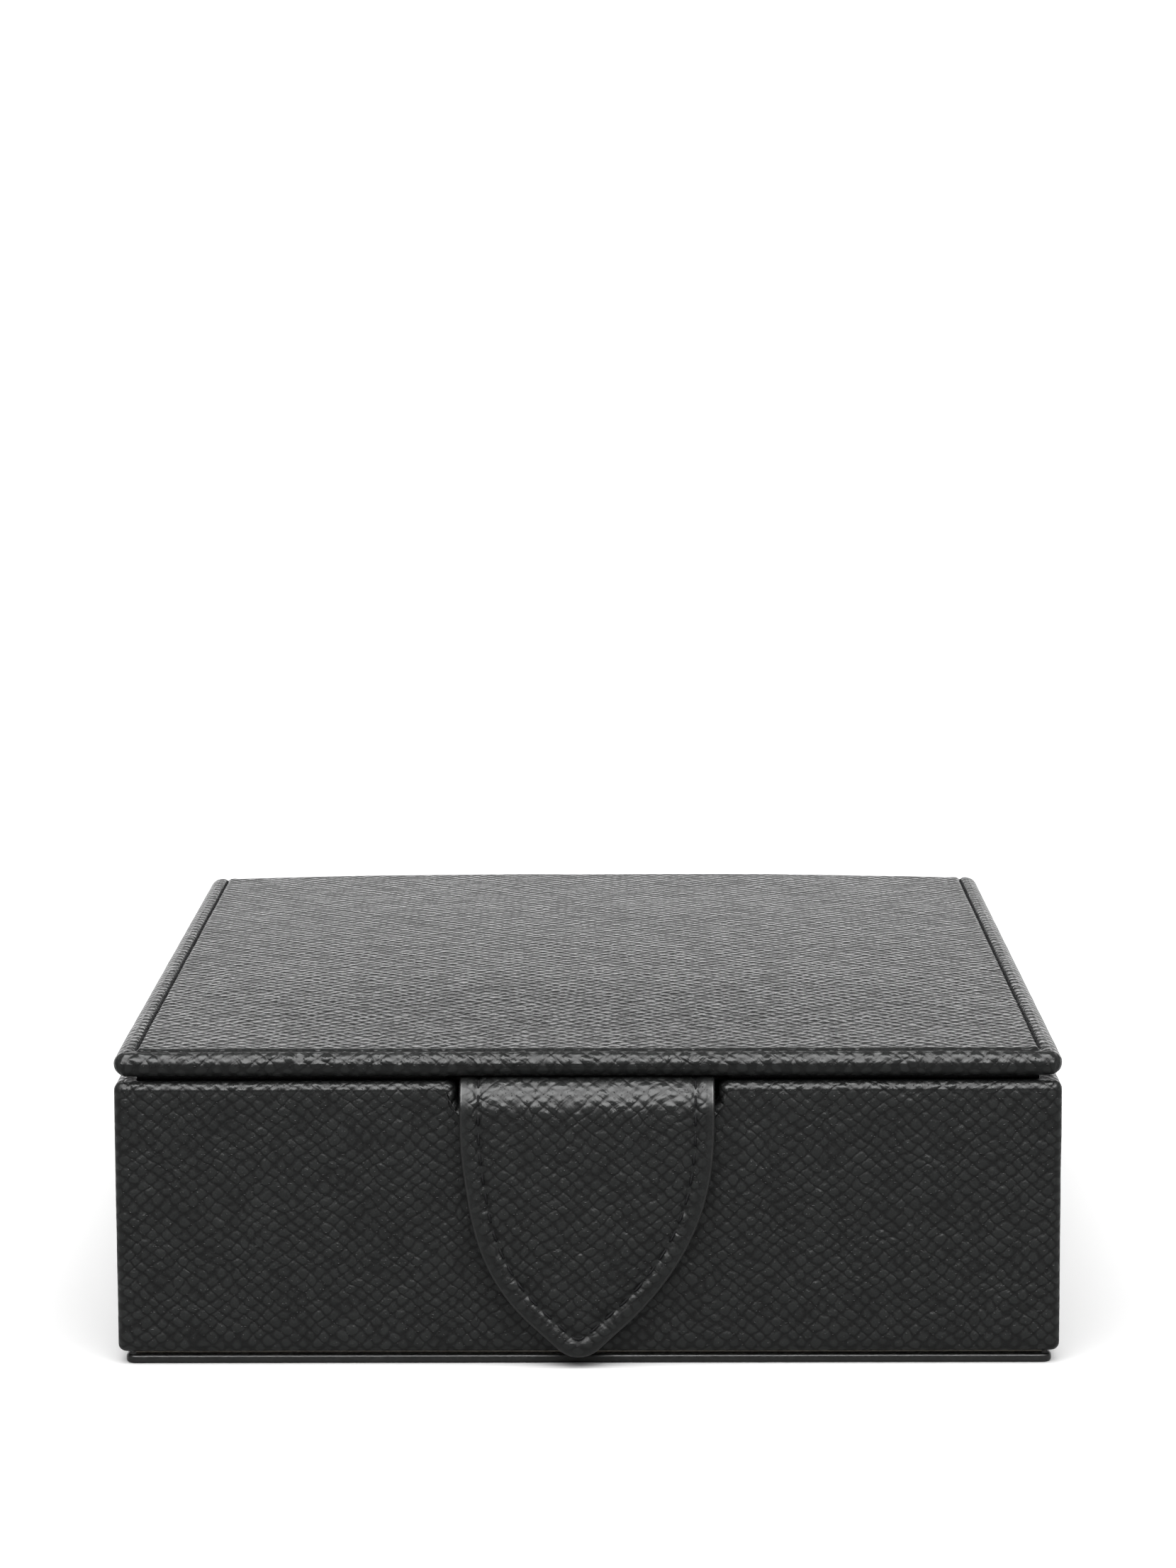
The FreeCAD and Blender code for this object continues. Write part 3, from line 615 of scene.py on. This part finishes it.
def stitch(surface, at, start, length, radius):
    """One stitch: a thread that rises from one hole, lies along the seam and dives into the next.

    at(along, across, up) gives the point in the row frame for a place on the seam.
    """
    rows = []
    for n in range(STITCH_STATIONS + 1):
        t = n / STITCH_STATIONS
        from_middle = 2 * abs(t - 0.5)
        lift = radius * (1.15 - 3.2 * from_middle ** 4)
        fat = radius * (1.0 + 0.10 * sin(14 * t)) * (1 - 0.35 * from_middle ** 6)
        around = [2 * pi * k / THREAD_SIDES for k in range(THREAD_SIDES)]
        rows.append(surface.row([at(start + length * t, fat * cos(a), lift + fat * sin(a)) for a in around]))
    surface.loft(rows, closed=True)
    surface.face(*rows[0])
    surface.face(*rows[-1])


def groove_z(y):
    """Height near the bottom of the lid's sewn groove, without the dips at the stitches' ends."""
    rise = 0.05 * (wobble(SEAM_X, y, 31) - wobble(SEAM_X, STITCH_LOW.y, 31))
    return lid_top(SEAM_X, STITCH_LOW.y) + rise + 0.06


def lid_stitches(side, name):
    """The row of stitches down one side of the lid, lying in its groove."""
    s = Surface()
    count = int((STITCH_HIGH.y - STITCH_LOW.y + STITCH_PITCH - STITCH_L) / STITCH_PITCH + 0.5)
    for n in range(count):
        start = STITCH_LOW.y + n * STITCH_PITCH
        lean = 0.10 * sin(2.4 * n)

        def at(along, across, up, start=start, lean=lean):
            share = (along - start) / STITCH_L - 0.5
            return side * SEAM_X + across + lean * share, along, groove_z(along) + up
        stitch(s, at, start, STITCH_L + 0.15 * sin(1.7 * n), THREAD_R)
    return s.make(name, [BLACK_THREAD])


# ---- body wrap
WALL_STEP, BACK_STEP = 3.2, 2.0  # spacing of points along the walls, and along the back
PANEL_GAP = 0.1  # between the wrapped leather and the back wall's own panel
STRAIGHT_Z = 45.0  # rows of points are level up to here, and follow the rim above
RIM_OPENING = 0.8  # how far the bend over the rim opens the grain
BODY_CORNER_SMOOTHING, FOOT_SMOOTHING = 0.6, 0.5


def rim_path():
    """The rim seen from the front as (x, z, normal x, normal z, x lower down): flat, with the notch."""
    half, top = BODY_HIGH.x - BODY_R, BODY_HIGH.z
    outer, inner = -NOTCH_HALF_W - NOTCH_R, -NOTCH_HALF_W + NOTCH_R
    path = [(x, top, 0.0, 1.0, x) for x in spread((-half, WALL_STEP), (outer, 1))]
    side = [(outer + NOTCH_R * sin(a), top - NOTCH_R * (1 - cos(a)), sin(a), cos(a))
            for a in quarter(8, 1)[:-1]]
    side += [(-NOTCH_HALF_W, z, 1.0, 0.0) for z in spread((top - NOTCH_R, 0.5), (NOTCH_Z + NOTCH_R, 1))]
    side += [(inner - NOTCH_R * cos(a), NOTCH_Z + NOTCH_R * (1 - sin(a)), cos(a), sin(a))
             for a in quarter(8, 1)]
    width = inner + 1.5 - outer
    path += [(*point, outer + width * (n + 1) / len(side)) for n, point in enumerate(side)]
    path += [(x, NOTCH_Z, 0.0, 1.0, x) for x in spread((inner + 3.0, 3.0), (0, 1))]
    return path + [(-x, z, -nx, nz, -low) for x, z, nx, nz, low in reversed(path[:-1])]


def body_samples():
    """Samples round the body from the back's left seam, by the front, to its right seam.

    Each is (x, y, outward x, outward y, rim z, rim normal along the wall, rim normal up, shift lower down).
    """
    ax, ay, top = BODY_HIGH.x - BODY_R, BODY_HIGH.y - BODY_R, BODY_HIGH.z
    seam_x = HINGE_HIGH.x + PANEL_GAP

    def plain(x, y, dx, dy):
        return x, y, dx, dy, top, 0.0, 1.0, 0.0

    def corner(x, y, first):
        return [plain(x, y, cos(first + turn), sin(first + turn)) for turn in quarter(6, 1)[:-1]]

    def side(sign):
        return [plain(sign * ax, y, float(sign), 0.0) for y in spread((-ay, WALL_STEP), (ay, 1))]

    out = [plain(-x, ay, 0.0, 1.0) for x in spread((seam_x, BACK_STEP), (ax, 1))]
    out += corner(-ax, ay, pi / 2) + side(-1)[::-1] + corner(-ax, -ay, pi)
    out += [(x, -ay, 0.0, -1.0, z, nx, nz, low - x) for x, z, nx, nz, low in rim_path()]
    out += corner(ax, -ay, -pi / 2) + side(1) + corner(ax, ay, 0.0)
    return out + [plain(x, ay, 0.0, 1.0) for x in spread((ax, BACK_STEP), (seam_x, 1))]


def body_wrap():
    """Leather over the four walls: turned in underneath, rounded at foot, corners, rim and notch."""
    samples = body_samples()
    run = [0.0]
    for a, b in zip(samples, samples[1:]):
        ends = [(p[0] + p[2] * BODY_R, p[1] + p[3] * BODY_R) for p in (a, b)]
        run.append(run[-1] + hypot(ends[1][0] - ends[0][0], ends[1][1] - ends[0][1]))
    foot = BODY_LOW.z
    hide_z = FOOT_R * pi / 2 - FOOT_R - foot    # from a height on the wall to its place on the hide
    s = Surface()
    rows = []

    def add(out, place, swell=0.0, opened=0.0):
        """One row of points: place(sample) is the step along the wall, the height, and both on the hide."""
        points, flat = [], []
        for sample, u in zip(samples, run):
            x, y, dx, dy = sample[:4]
            along, z, hide_u, hide_v = place(sample)
            reach = out + swell * (0.06 * wobble(u, z, 34, 0.7) + 0.03 * wobble(u, z, 8.5, 2.1))
            px, py = x + dx * reach - dy * along, y + dy * reach + dx * along
            points.append((*mitred(px, py, BODY_HIGH, BODY_R, reach), z))
            low_down = 1 - smooth(1.0, 4.0, hide_v)
            smoothing = float(max(BODY_CORNER_SMOOTHING * cornering(dx, dy), FOOT_SMOOTHING * low_down))
            flat.append((u + hide_u, hide_v, smoothing or -opened))
        rows.append(s.row(points, flat))

    def level(z, hide_v):
        return lambda p: (p[7], z, p[7], hide_v)

    def towards_rim(share):
        """Rows that change from level to following the rim as share goes from 0 to 1."""
        def place(p):
            along = p[7] * (1 - share) - p[5] * RIM_R * share
            z = STRAIGHT_Z + (p[4] - RIM_R * p[6] - STRAIGHT_Z) * share
            return along, z, along, z + hide_z
        return place

    def over(turn):
        drop, arc = RIM_R * (1 - sin(turn)), RIM_R * (turn - 1)
        return lambda p: (-p[5] * drop, p[4] - drop * p[6], p[5] * arc, p[4] + hide_z + p[6] * arc)

    def inside(arc):
        return lambda p: (0.0, p[4], p[5] * arc, p[4] - foot + p[6] * arc)

    for inset in (9.0, 4.0):
        add(BODY_R - inset, lambda p, inset=inset: (0.0, foot, 0.0, -inset))
    for a in quarter(6):
        add(BODY_R - FOOT_R + FOOT_R * sin(a), level(foot + FOOT_R * (1 - cos(a)), FOOT_R * a))
    for z in spread((foot + FOOT_R + 2, 3.0), (STRAIGHT_Z, 1)):
        add(BODY_R, level(z, z + hide_z), swell=1.0)
    for share in (0.35, 0.7, 1.0):
        add(BODY_R, towards_rim(share), swell=1 - share)
    for turn in quarter(8, 1):
        add(BODY_R - RIM_R * (1 - cos(turn)), over(turn), opened=RIM_OPENING)
    for inset in (WALL_IN - 0.6, WALL_IN):
        add(BODY_R - inset, inside(RIM_R * (pi / 2 - 1) + inset))
    s.loft(rows)
    return s.make("body_wrap", [BLACK_LEATHER], weld=True)


# ---- tab
TAB_INSETS = (TAB_HALF_W, 18, 14, 11, 9, 7.5, 6.2, 5.2, 4.6, 4.2, 3.9, 3.65, 3.4, 3.15, 2.9, 2.6, 2.2, 1.7,
              1.2, 0.8)              # distances in from the edge of the rows of points on the tab's face
TAB_EDGE_R = 0.45
TAB_PUFF, TAB_BORDER_SWELL = 0.30, 0.14
TAB_GROOVE, TAB_STITCH_PULL = 0.22, 0.24  # depth of the sewn line, and how much deeper stitches pull it
TAB_THREAD_UP = -0.33  # where the thread lies, from the plane of the tab's face
TAB_EDGE_SMOOTHING, BEND_OPENING = 0.9, 0.45


def tab_lean(z):
    """How far the tab leans to the left at a height: it hangs a little askew."""
    return -0.1 - 1.65 * float(smooth(0, 28, 36 - z))


def tab_edge():
    """The right edge of the flat tab, from its root to its point: (x, s, outward x, outward s).

    s is measured along the leather, upward from the lower end of the bend.
    """
    straight = spread((BEND_R * pi / 2 + 2.0, 0.8), (TAB_SHOULDER_Z - BEND_Z, 1))
    edge = [(TAB_HALF_W, s, 1.0, 0.0) for s in straight]
    x, z, slope = TAB_HALF_W, TAB_SHOULDER_Z, 0.0
    for radius, end in TAB_ARCS:
        cx, cz = x - radius * cos(slope), z + radius * sin(slope)
        for a in np.linspace(slope, end, 21)[1:]:
            edge.append((cx + radius * cos(a), cz - radius * sin(a) - BEND_Z, cos(a), -sin(a)))
        x, z, slope = cx + radius * cos(end), cz - radius * sin(end), end
    tip_r = (TAB_LOW.z - z + x / tan(slope)) / (1 / sin(slope) - 1)
    tip_z = TAB_LOW.z + tip_r
    chin = (tip_r * cos(slope), tip_z - tip_r * sin(slope))
    for t in (0.2, 0.4, 0.6, 0.8):
        edge.append((x + (chin[0] - x) * t, z + (chin[1] - z) * t - BEND_Z, cos(slope), -sin(slope)))
    for a in np.linspace(slope, pi / 2, 8):
        edge.append((tip_r * cos(a), tip_z - tip_r * sin(a) - BEND_Z, cos(a), -sin(a)))
    return edge


def tab_point(x, s, up):
    """Where a point of the flat tab goes: down the front, round the bend and back under the lid."""
    lean = tab_lean(s + BEND_Z) if s < 0 else tab_lean(BEND_Z)
    if s <= 0:
        return (x + lean, TAB_LOW.y - up, BEND_Z + s)
    turn = s / BEND_R
    if turn <= pi / 2:
        r = BEND_R + up
        return (x + lean, BEND_Y - r * cos(turn), BEND_Z + r * sin(turn))
    return (x + lean, BEND_Y + (s - BEND_R * pi / 2), ROOT_HIGH.z + up)


def tab_face_height(inset, u, s):
    """Height of the tab's face above its plane: puffed inside the stitching, dipped along it."""
    puff = TAB_PUFF * smooth(TAB_SEAM_IN, TAB_SEAM_IN + 6, inset) * (1 - smooth(4, 9, s))
    border = TAB_BORDER_SWELL * bump(inset, 1.9, 1.3)
    hole = (0.5 + 0.5 * cos(2 * pi * u / TAB_PITCH)) ** 3
    groove = -(TAB_GROOVE + TAB_STITCH_PULL * hole) * bump(inset, TAB_SEAM_IN, 0.9)
    uneven = 0.05 * wobble(u, inset, 11, 0.4) * smooth(0.5, 2, inset)
    return puff + border + groove + uneven


def tab_rows():
    """Samples round the whole tab edge, root to point to root, the seam inside them and the run along it."""
    right = tab_edge()
    around = right + [(-x, s, -nx, ns) for x, s, nx, ns in reversed(right[:-1])]
    seam = [(x - nx * TAB_SEAM_IN, s - ns * TAB_SEAM_IN) for x, s, nx, ns in around]
    run = [0.0]
    for a, b in zip(seam, seam[1:]):
        run.append(run[-1] + hypot(b[0] - a[0], b[1] - a[1]))
    return around, seam, run


def tab_cover():
    """The tab's leather as one closed skin: face, painted edge and back, from its root to its point."""
    around, _, run = tab_rows()
    s = Surface()
    deepest = 4.6

    def place(sample, inset):
        """A point this far in from the edge. Past the deepest even inset, rows close on the middle."""
        x, along, nx, ns = sample
        if inset <= deepest:
            return x - nx * inset, along - ns * inset
        x, along = x - nx * deepest, along - ns * deepest
        t = (inset - deepest) / (TAB_HALF_W - deepest)
        return x * (1 - t), along + (max(along, TAB_LOW.z + 9 - BEND_Z) - along) * t

    def layer(inset, up_of):
        points, flat = [], []
        for sample, u in zip(around, run):
            x, along = place(sample, inset)
            points.append(tab_point(x, along, up_of(inset, u, along)))
            border = 1 - smooth(0.9, 2.2, inset)
            opened = BEND_OPENING * smooth(-4, 2, along) * (1 - border)
            flat.append((x, along, float(TAB_EDGE_SMOOTHING * border - opened)))
        return s.row(points, flat)

    def thickness(along):
        return TAB_T + (ROOT_T - TAB_T) * float(smooth(0, BEND_R, along))

    r = TAB_EDGE_R
    face = [layer(inset, tab_face_height) for inset in (*TAB_INSETS, r)]
    edge = [face[-1]]
    edge += [layer(r * (1 - sin(a)), lambda i, u, along, a=a: -r * (1 - cos(a))) for a in quarter(5, 1)]
    edge += [layer(r * (1 - cos(a)), lambda i, u, along, a=a: -thickness(along) + r * (1 - sin(a)))
             for a in quarter(5)]
    back = [edge[-1]]
    back += [layer(inset, lambda i, u, along: -thickness(along)) for inset in (1.6, 4.6, 9, 14, TAB_HALF_W)]
    s.loft(face)
    s.loft(edge, slot=1)
    s.loft(back, slot=2)
    return s.make("tab_cover", [BLACK_LEATHER, EDGE_PAINT, LINING_LEATHER], weld=True)


def tab_stitches():
    """Stitches along the tab's edge, over the bend and round the point."""
    _, seam, run = tab_rows()
    xs, along = zip(*seam)
    surface = Surface()

    def at(u, across, up):
        x, s = np.interp(u, run, xs), np.interp(u, run, along)
        step_x, step_s = np.interp(u + 0.3, run, xs) - x, np.interp(u + 0.3, run, along) - s
        length = hypot(step_x, step_s) or 1.0
        ground = TAB_THREAD_UP + 0.05 * wobble(u, TAB_SEAM_IN, 11, 0.4)
        return tab_point(x - step_s / length * across, s + step_x / length * across, ground + up)

    for n in range(int(run[-1] / TAB_PITCH)):
        stitch(surface, at, n * TAB_PITCH + 0.45, TAB_STITCH_L * (1 + 0.04 * sin(2.1 * n)), THREAD_R)
    return surface.make("tab_seam", [BLACK_THREAD])


def leaned_copy(name, node):
    """A copy of a CAD piece inside the tab that leans to the side with the tab's leather."""
    mesh = frame["nodes"][node].data.copy()
    for vertex in mesh.vertices:
        vertex.co.x += tab_lean(vertex.co.z / MM) * MM
    return place_object(name, mesh)


# ---- hinge
def strip(name, section, half_width, material, edge=0.25):
    """A closed (y, z) section swept along X, its two ends drawn in a little so that they look soft."""
    middle_y = sum(y for y, _ in section) / len(section)
    s = Surface()
    lengths = [0.0]
    for a, b in zip(section, section[1:]):
        lengths.append(lengths[-1] + hypot(b[0] - a[0], b[1] - a[1]))
    xs = spread((-half_width, edge / 2), (-half_width + edge, 6.0), (half_width - edge, edge / 2),
                (half_width, 1))
    rows = []
    for x in xs:
        near = min(1.0, (half_width - abs(x)) / edge)
        tuck = 0.12 * (1 - sin(pi / 2 * near))
        rows.append(s.row([(x, y + tuck * float(np.sign(middle_y - y)), z) for y, z in section],
                          [(x, length) for length in lengths]))
    s.loft(rows)
    for row in (rows[0], rows[-1]):
        count = len(row)
        for n in range(count // 2 - 1):
            s.face(row[n], row[n + 1], row[count - 2 - n], row[count - 1 - n])
    return s.make(name, [material])


def spine_cover():
    """The back wall's leather, which runs on up as the hinge and is glued to the lid's back edge."""
    outer_y, inner_y = BODY_HIGH.y + 0.06, BODY_HIGH.y - LEATHER + 0.04
    foot, top, lip_r = BODY_LOW.z, HINGE_HIGH.z, 0.35
    outer = [(outer_y - 9.0, foot), (outer_y - 4.0, foot)]
    outer += [(outer_y - FOOT_R * (1 - sin(a)), foot + FOOT_R * (1 - cos(a))) for a in quarter(6)]
    outer += [(outer_y, z) for z in spread((foot + FOOT_R + 2, 3.0), (49.0, 0.3), (top - 0.4, 1))]
    outer += [(outer_y - lip_r * (1 - cos(a)), top - lip_r * (1 - sin(a))) for a in quarter(4)]
    inner = [(min(inner_y, y), max(z, foot + LEATHER)) for y, z in reversed(outer)]
    return strip("spine_cover", outer + inner, HINGE_HIGH.x, BLACK_LEATHER)


def gusset():
    """The thin cloth folded into the gap between the back rim and the lid."""
    t, r = 0.3, 0.1
    back, front, low, high = GUSSET_HIGH.y, GUSSET_LOW.y, GUSSET_LOW.z, GUSSET_HIGH.z
    outer = [(y, low) for y in spread((front, 1.0), (back - 0.2, 1))]
    outer += [(back, z) for z in spread((low + r, 0.07), (high - r, 1))]
    outer += [(y, high) for y in spread((back - 0.2, 1.0), (front, 1))]
    inner = [(y, high - t) for y in spread((front, 1.0), (back - t - r, 1))]
    inner += [(back - t, z) for z in spread((high - t - 0.02, 0.07), (low + t + 0.02, 1))]
    inner += [(y, low + t) for y in spread((back - t - r, 1.0), (front, 1))]
    return strip("hinge_gusset_cloth", outer + inner, HINGE_HIGH.x, BLACK_CLOTH, edge=0.2)


# ---- cards
DECK_COUNT, DECK_SLACK = 54, 0.22  # cards in a deck, and the room left round them for the uneven ones
CARD_R = 3.2
CARD_FILL = 0.93  # a card's thickness as a share of the step from card to card
CARD_SHIFT, CARD_TWIST = 0.13, 0.0012  # most that a card lies out of line, in mm and radians


def deck(name, node, back_material, seed):
    """A squared-up deck: many thin cards, each a hair out of line with the next."""
    low, high = node_box(node)
    cx, cy = (low.x + high.x) / 2, (low.y + high.y) / 2
    hx, hy = high.x - cx - DECK_SLACK - CARD_R, high.y - cy - DECK_SLACK - CARD_R
    pitch = (high.z - low.z) / DECK_COUNT
    rng = np.random.default_rng(seed)
    outline = []
    for n, (x, y) in enumerate(((hx, hy), (-hx, hy), (-hx, -hy), (hx, -hy))):
        turns = [a + n * pi / 2 for a in quarter(4)]
        outline += [(x + CARD_R * cos(a), y + CARD_R * sin(a)) for a in turns]
    s = Surface()
    for n in range(DECK_COUNT):
        dx, dy = rng.uniform(-CARD_SHIFT, CARD_SHIFT), rng.uniform(-CARD_SHIFT, CARD_SHIFT)
        turn = rng.uniform(-CARD_TWIST, CARD_TWIST)
        place = [(cx + dx + x * cos(turn) - y * sin(turn), cy + dy + x * sin(turn) + y * cos(turn))
                 for x, y in outline]
        under, top = (s.row([(x, y, low.z + level * pitch) for x, y in place], outline)
                      for level in (n, n + CARD_FILL))
        s.join(under, top, closed=True, slot=1)
        s.face(*top, slot=0)
        s.face(*under, slot=1)
    obj = s.make(name, [back_material, CARD_EDGE])
    obj.data.polygons.foreach_set("use_smooth", [False] * len(obj.data.polygons))
    return obj


# ---- stage
FLOOR_SIZE, CAMERA_REACH = 60, 50  # metres
LIGHT = 5.2  # radiance of the band of light over and in front of the case
LIGHT_FROM, LIGHT_TO = (22, 48), (84, 112)  # degrees up from the front where it fades in, and out again
LIGHT_SIDE = (0.45, 0.85)  # sideways part of the direction where it fades out
BACKDROP = 4.6  # radiance of the bright backdrop behind the case, at its foot
BACKDROP_Y, BACKDROP_Z = (0.2, 0.85), (0.03, 0.32)  # parts of the direction where it fades in, and out
BACKDROP_FALL = 0.95  # share of its brightness lost at its top
FILL = 0.12  # radiance from everywhere else
GLOSS = 30.0  # radiance of the softbox, which only glossy surfaces see
GLOSS_W, GLOSS_H, GLOSS_AWAY, GLOSS_UP = 2.6, 1.9, 1.6, 60  # metres, and degrees above the front
CAMERA_AT = (6.128, -888.95, 214.66)  # millimetres
CAMERA_YAW, CAMERA_PITCH, CAMERA_ROLL = radians(-0.4256), radians(7.861), radians(0.189)
CAMERA_LENS, SENSOR_WIDTH = 103.30, 36.0


def white_floor():
    """A plain white floor."""
    bpy.ops.mesh.primitive_plane_add(size=FLOOR_SIZE, location=(0, 0, 0))
    floor = bpy.context.object
    floor.name = "floor"
    g = Graph("floor_white", base=(0.64, 0.64, 0.64), roughness=1.0, specular=0.0)
    haze = g.noise(g.add("TexCoord").outputs["Object"], scale=3.0)
    g.set(g.shader, {"Base Color": g.mix_colour(haze, (0.63, 0.63, 0.63), (0.65, 0.65, 0.65))})
    floor.data.materials.append(g.material)


def lights():
    """A soft band of light overhead, a bright backdrop, and a softbox that puts highlights on edges."""
    box = bpy.data.lights.new("softbox", "AREA")
    box.shape, box.size, box.size_y = "RECTANGLE", GLOSS_W, GLOSS_H
    box.energy = GLOSS * pi * box.size * box.size_y
    lamp = place_object("softbox", box)
    lamp.location = (0, -GLOSS_AWAY * cos(radians(GLOSS_UP)), GLOSS_AWAY * sin(radians(GLOSS_UP)))
    lamp.rotation_euler = (radians(90 - GLOSS_UP), 0, 0)
    lamp.visible_diffuse = False

    world = bpy.data.worlds.new("studio")
    world.use_nodes = True
    g = Nodes(world.node_tree)
    way = g.add("SeparateXYZ", {0: g.add("TexCoord").outputs["Generated"]}).outputs
    turn = g.math("ARCTAN2", way["Z"], g.math("MULTIPLY", way["Y"], -1.0))
    rise, fall = (g.range(turn, radians(low), radians(high)) for low, high in (LIGHT_FROM, LIGHT_TO))
    narrow = g.math("SUBTRACT", 1.0, g.range(g.math("ABSOLUTE", way["X"]), *LIGHT_SIDE))
    band = g.math("MULTIPLY", g.math("SUBTRACT", rise, fall), narrow)
    dimmed = g.math("MULTIPLY", g.range(way["Z"], *BACKDROP_Z), BACKDROP_FALL)
    backdrop = g.math("MULTIPLY", g.range(way["Y"], *BACKDROP_Y), g.math("SUBTRACT", 1.0, dimmed))
    radiance = g.math("ADD", g.total((band, LIGHT), (backdrop, BACKDROP)), FILL)
    g.set(g.tree.nodes["Background"], {"Strength": radiance, "Color": (1, 1, 1, 1)})
    bpy.context.scene.world = world


def camera():
    """The photograph's viewpoint, in the row frame."""
    data = bpy.data.cameras.new("camera")
    data.lens, data.sensor_width, data.clip_end = CAMERA_LENS, SENSOR_WIDTH, CAMERA_REACH
    forward = Vector((sin(CAMERA_YAW) * cos(CAMERA_PITCH), cos(CAMERA_YAW) * cos(CAMERA_PITCH),
                      -sin(CAMERA_PITCH)))
    level = Vector((cos(CAMERA_YAW), -sin(CAMERA_YAW), 0))
    plumb = forward.cross(level)
    across = cos(CAMERA_ROLL) * level + sin(CAMERA_ROLL) * plumb
    down = -sin(CAMERA_ROLL) * level + cos(CAMERA_ROLL) * plumb
    obj = place_object("camera", data)
    turn = Matrix((across, -down, -forward)).transposed().to_4x4()
    obj.matrix_world = Matrix.Translation(Vector(CAMERA_AT) * MM) @ turn
    bpy.context.scene.camera = obj
    bpy.context.scene.view_settings.view_transform = "Standard"


# ---- assembly
BLACK_LEATHER = leather("black_cross_grain")
LID_LEATHER = leather("black_cross_grain_lid", depth=LID_GRAIN_DEPTH)
EDGE_PAINT = smooth_leather("edge_paint")
LINING_LEATHER = smooth_leather("plain_black_leather")
BLACK_THREAD = thread("black_waxed_thread")
BLACK_CLOTH = cloth("black_book_cloth")
CARD_EDGE = card_edge("card_edge")
BLACK_SUEDE = suede("black_suede", (0.008, 0.008, 0.008), (0.022, 0.022, 0.022))
GREEN_SUEDE = suede("green_suede", (0.006, 0.030, 0.018), (0.016, 0.072, 0.044))
MDF = board("wall_mdf", (0.36, 0.24, 0.14), (0.52, 0.38, 0.24), (0.5, 0.5, 4.0))
GREYBOARD = board("greyboard", (0.24, 0.22, 0.19), (0.40, 0.37, 0.32), (1.2, 1.2, 4.0))
STEEL = steel("nickel_plate")
FOAM = foam("foam")
IVORY = (0.50, 0.48, 0.41)

WALLS = ("front", "back", "left", "right")
NODES_OF_MATERIAL = (
    (LINING_LEATHER, ("base_leather", "tab_back_leather", "tab_root")),
    (BLACK_LEATHER, ("spine_leather",)),
    (GREYBOARD, ("base_board", "base_filler_card", "base_spacer_card", "bottom_filler_card",
                 "lid_filler_card", "tab_core", "lid_left_edge_core", "lid_right_edge_core")),
    (MDF, ("floor_board", "lid_board", *(wall + "_wall_board" for wall in WALLS))),
    (STEEL, ("catch_plate", "tab_magnet")),
    (FOAM, ("lid_padding",)),
    (BLACK_SUEDE, ("floor_lining", "lid_lining_panel", *(wall + "_wall_lining" for wall in WALLS))),
    (GREEN_SUEDE, ("card_tray", "left_chip_rack", "right_chip_rack", "left_rack_divider",
                   "right_rack_divider")),
)
CHIPS = (  # bay, colour name, body colour and spot colour
    ("left_front", "red", (0.42, 0.016, 0.014), IVORY),
    ("left_back", "ivory", IVORY, (0.03, 0.10, 0.05)),
    ("right_front", "blue", (0.014, 0.05, 0.26), IVORY),
    ("right_back", "black", (0.014, 0.014, 0.016), IVORY),
)
DECKS = (("front", "red", (0.30, 0.012, 0.014), 3), ("back", "blue", (0.012, 0.035, 0.20), 8))


def dress(name, material):
    """Gives a CAD node its material."""
    mesh = frame["nodes"][name].data
    mesh.materials.clear()
    mesh.materials.append(material)


def dress_cad_nodes():
    for material, names in NODES_OF_MATERIAL:
        for name in names:
            dress(name, material)
    for n, (bay, colour, body, spot) in enumerate(CHIPS):
        node = "chips_" + bay
        dress(node, chip("chips_" + colour, node, body, spot, first=40 * n))


def settle(obj, body, slot, *nodes):
    """Lets a piece ride on a body in place of these CAD nodes."""
    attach(obj, body)
    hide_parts(*nodes)


def bend_between(obj, bodies, start, end, slot, *nodes):
    """Puts a piece in place of these CAD nodes, its placement baked into its points; nothing here stretches
    it over the joint between the two bodies.
    """
    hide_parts(*nodes)
    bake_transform(obj)


def main():
    white_floor()
    lights()
    camera()
    dress_cad_nodes()
    cover = lid_cover()
    settle(cover, "lid", "black_leather", "lid_leather", "lid_padding")
    settle(lid_stitches(-1, "lid_seam_left"), "lid", "black_thread", "lid_left_stitching")
    settle(lid_stitches(1, "lid_seam_right"), "lid", "black_thread", "lid_right_stitching")
    settle(body_wrap(), "case", "black_leather", "body_leather")

    bend_start = (0, BEND_Y, ROOT_HIGH.z - ROOT_T / 2)
    bend_end = (0, TAB_LOW.y + TAB_T / 2, BEND_Z)
    bend_between(tab_cover(), ("lid", "tab"), bend_start, bend_end, "black_leather",
                 "tab_face_leather", "tab_bend", "tab_back_leather", "tab_root")
    bend_between(tab_stitches(), ("lid", "tab"), bend_start, bend_end, "black_thread", "tab_stitching")
    settle(leaned_copy("tab_stiffener", "tab_core"), "tab", "greyboard", "tab_core")
    settle(leaned_copy("tab_magnet_disc", "tab_magnet"), "tab", "steel", "tab_magnet")

    bend_between(spine_cover(), ("case", "lid"), (0, 0, HINGE_Z - 1.6), (0, 0, HINGE_Z + 1.6),
                 "black_leather", "spine_leather", "hinge_leather")
    bend_between(gusset(), ("case", "lid"), (0, 0, HINGE_Z - 0.15), (0, 0, HINGE_Z + 0.15), "black_cloth",
                 "hinge_gusset")

    for place, colour, ink, seed in DECKS:
        cards = deck("cards_" + place, "card_deck_" + place, card_back("card_back_" + place, ink), seed)
        settle(cards, "case", "cards_" + colour, "card_deck_" + place)

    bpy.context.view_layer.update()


main()
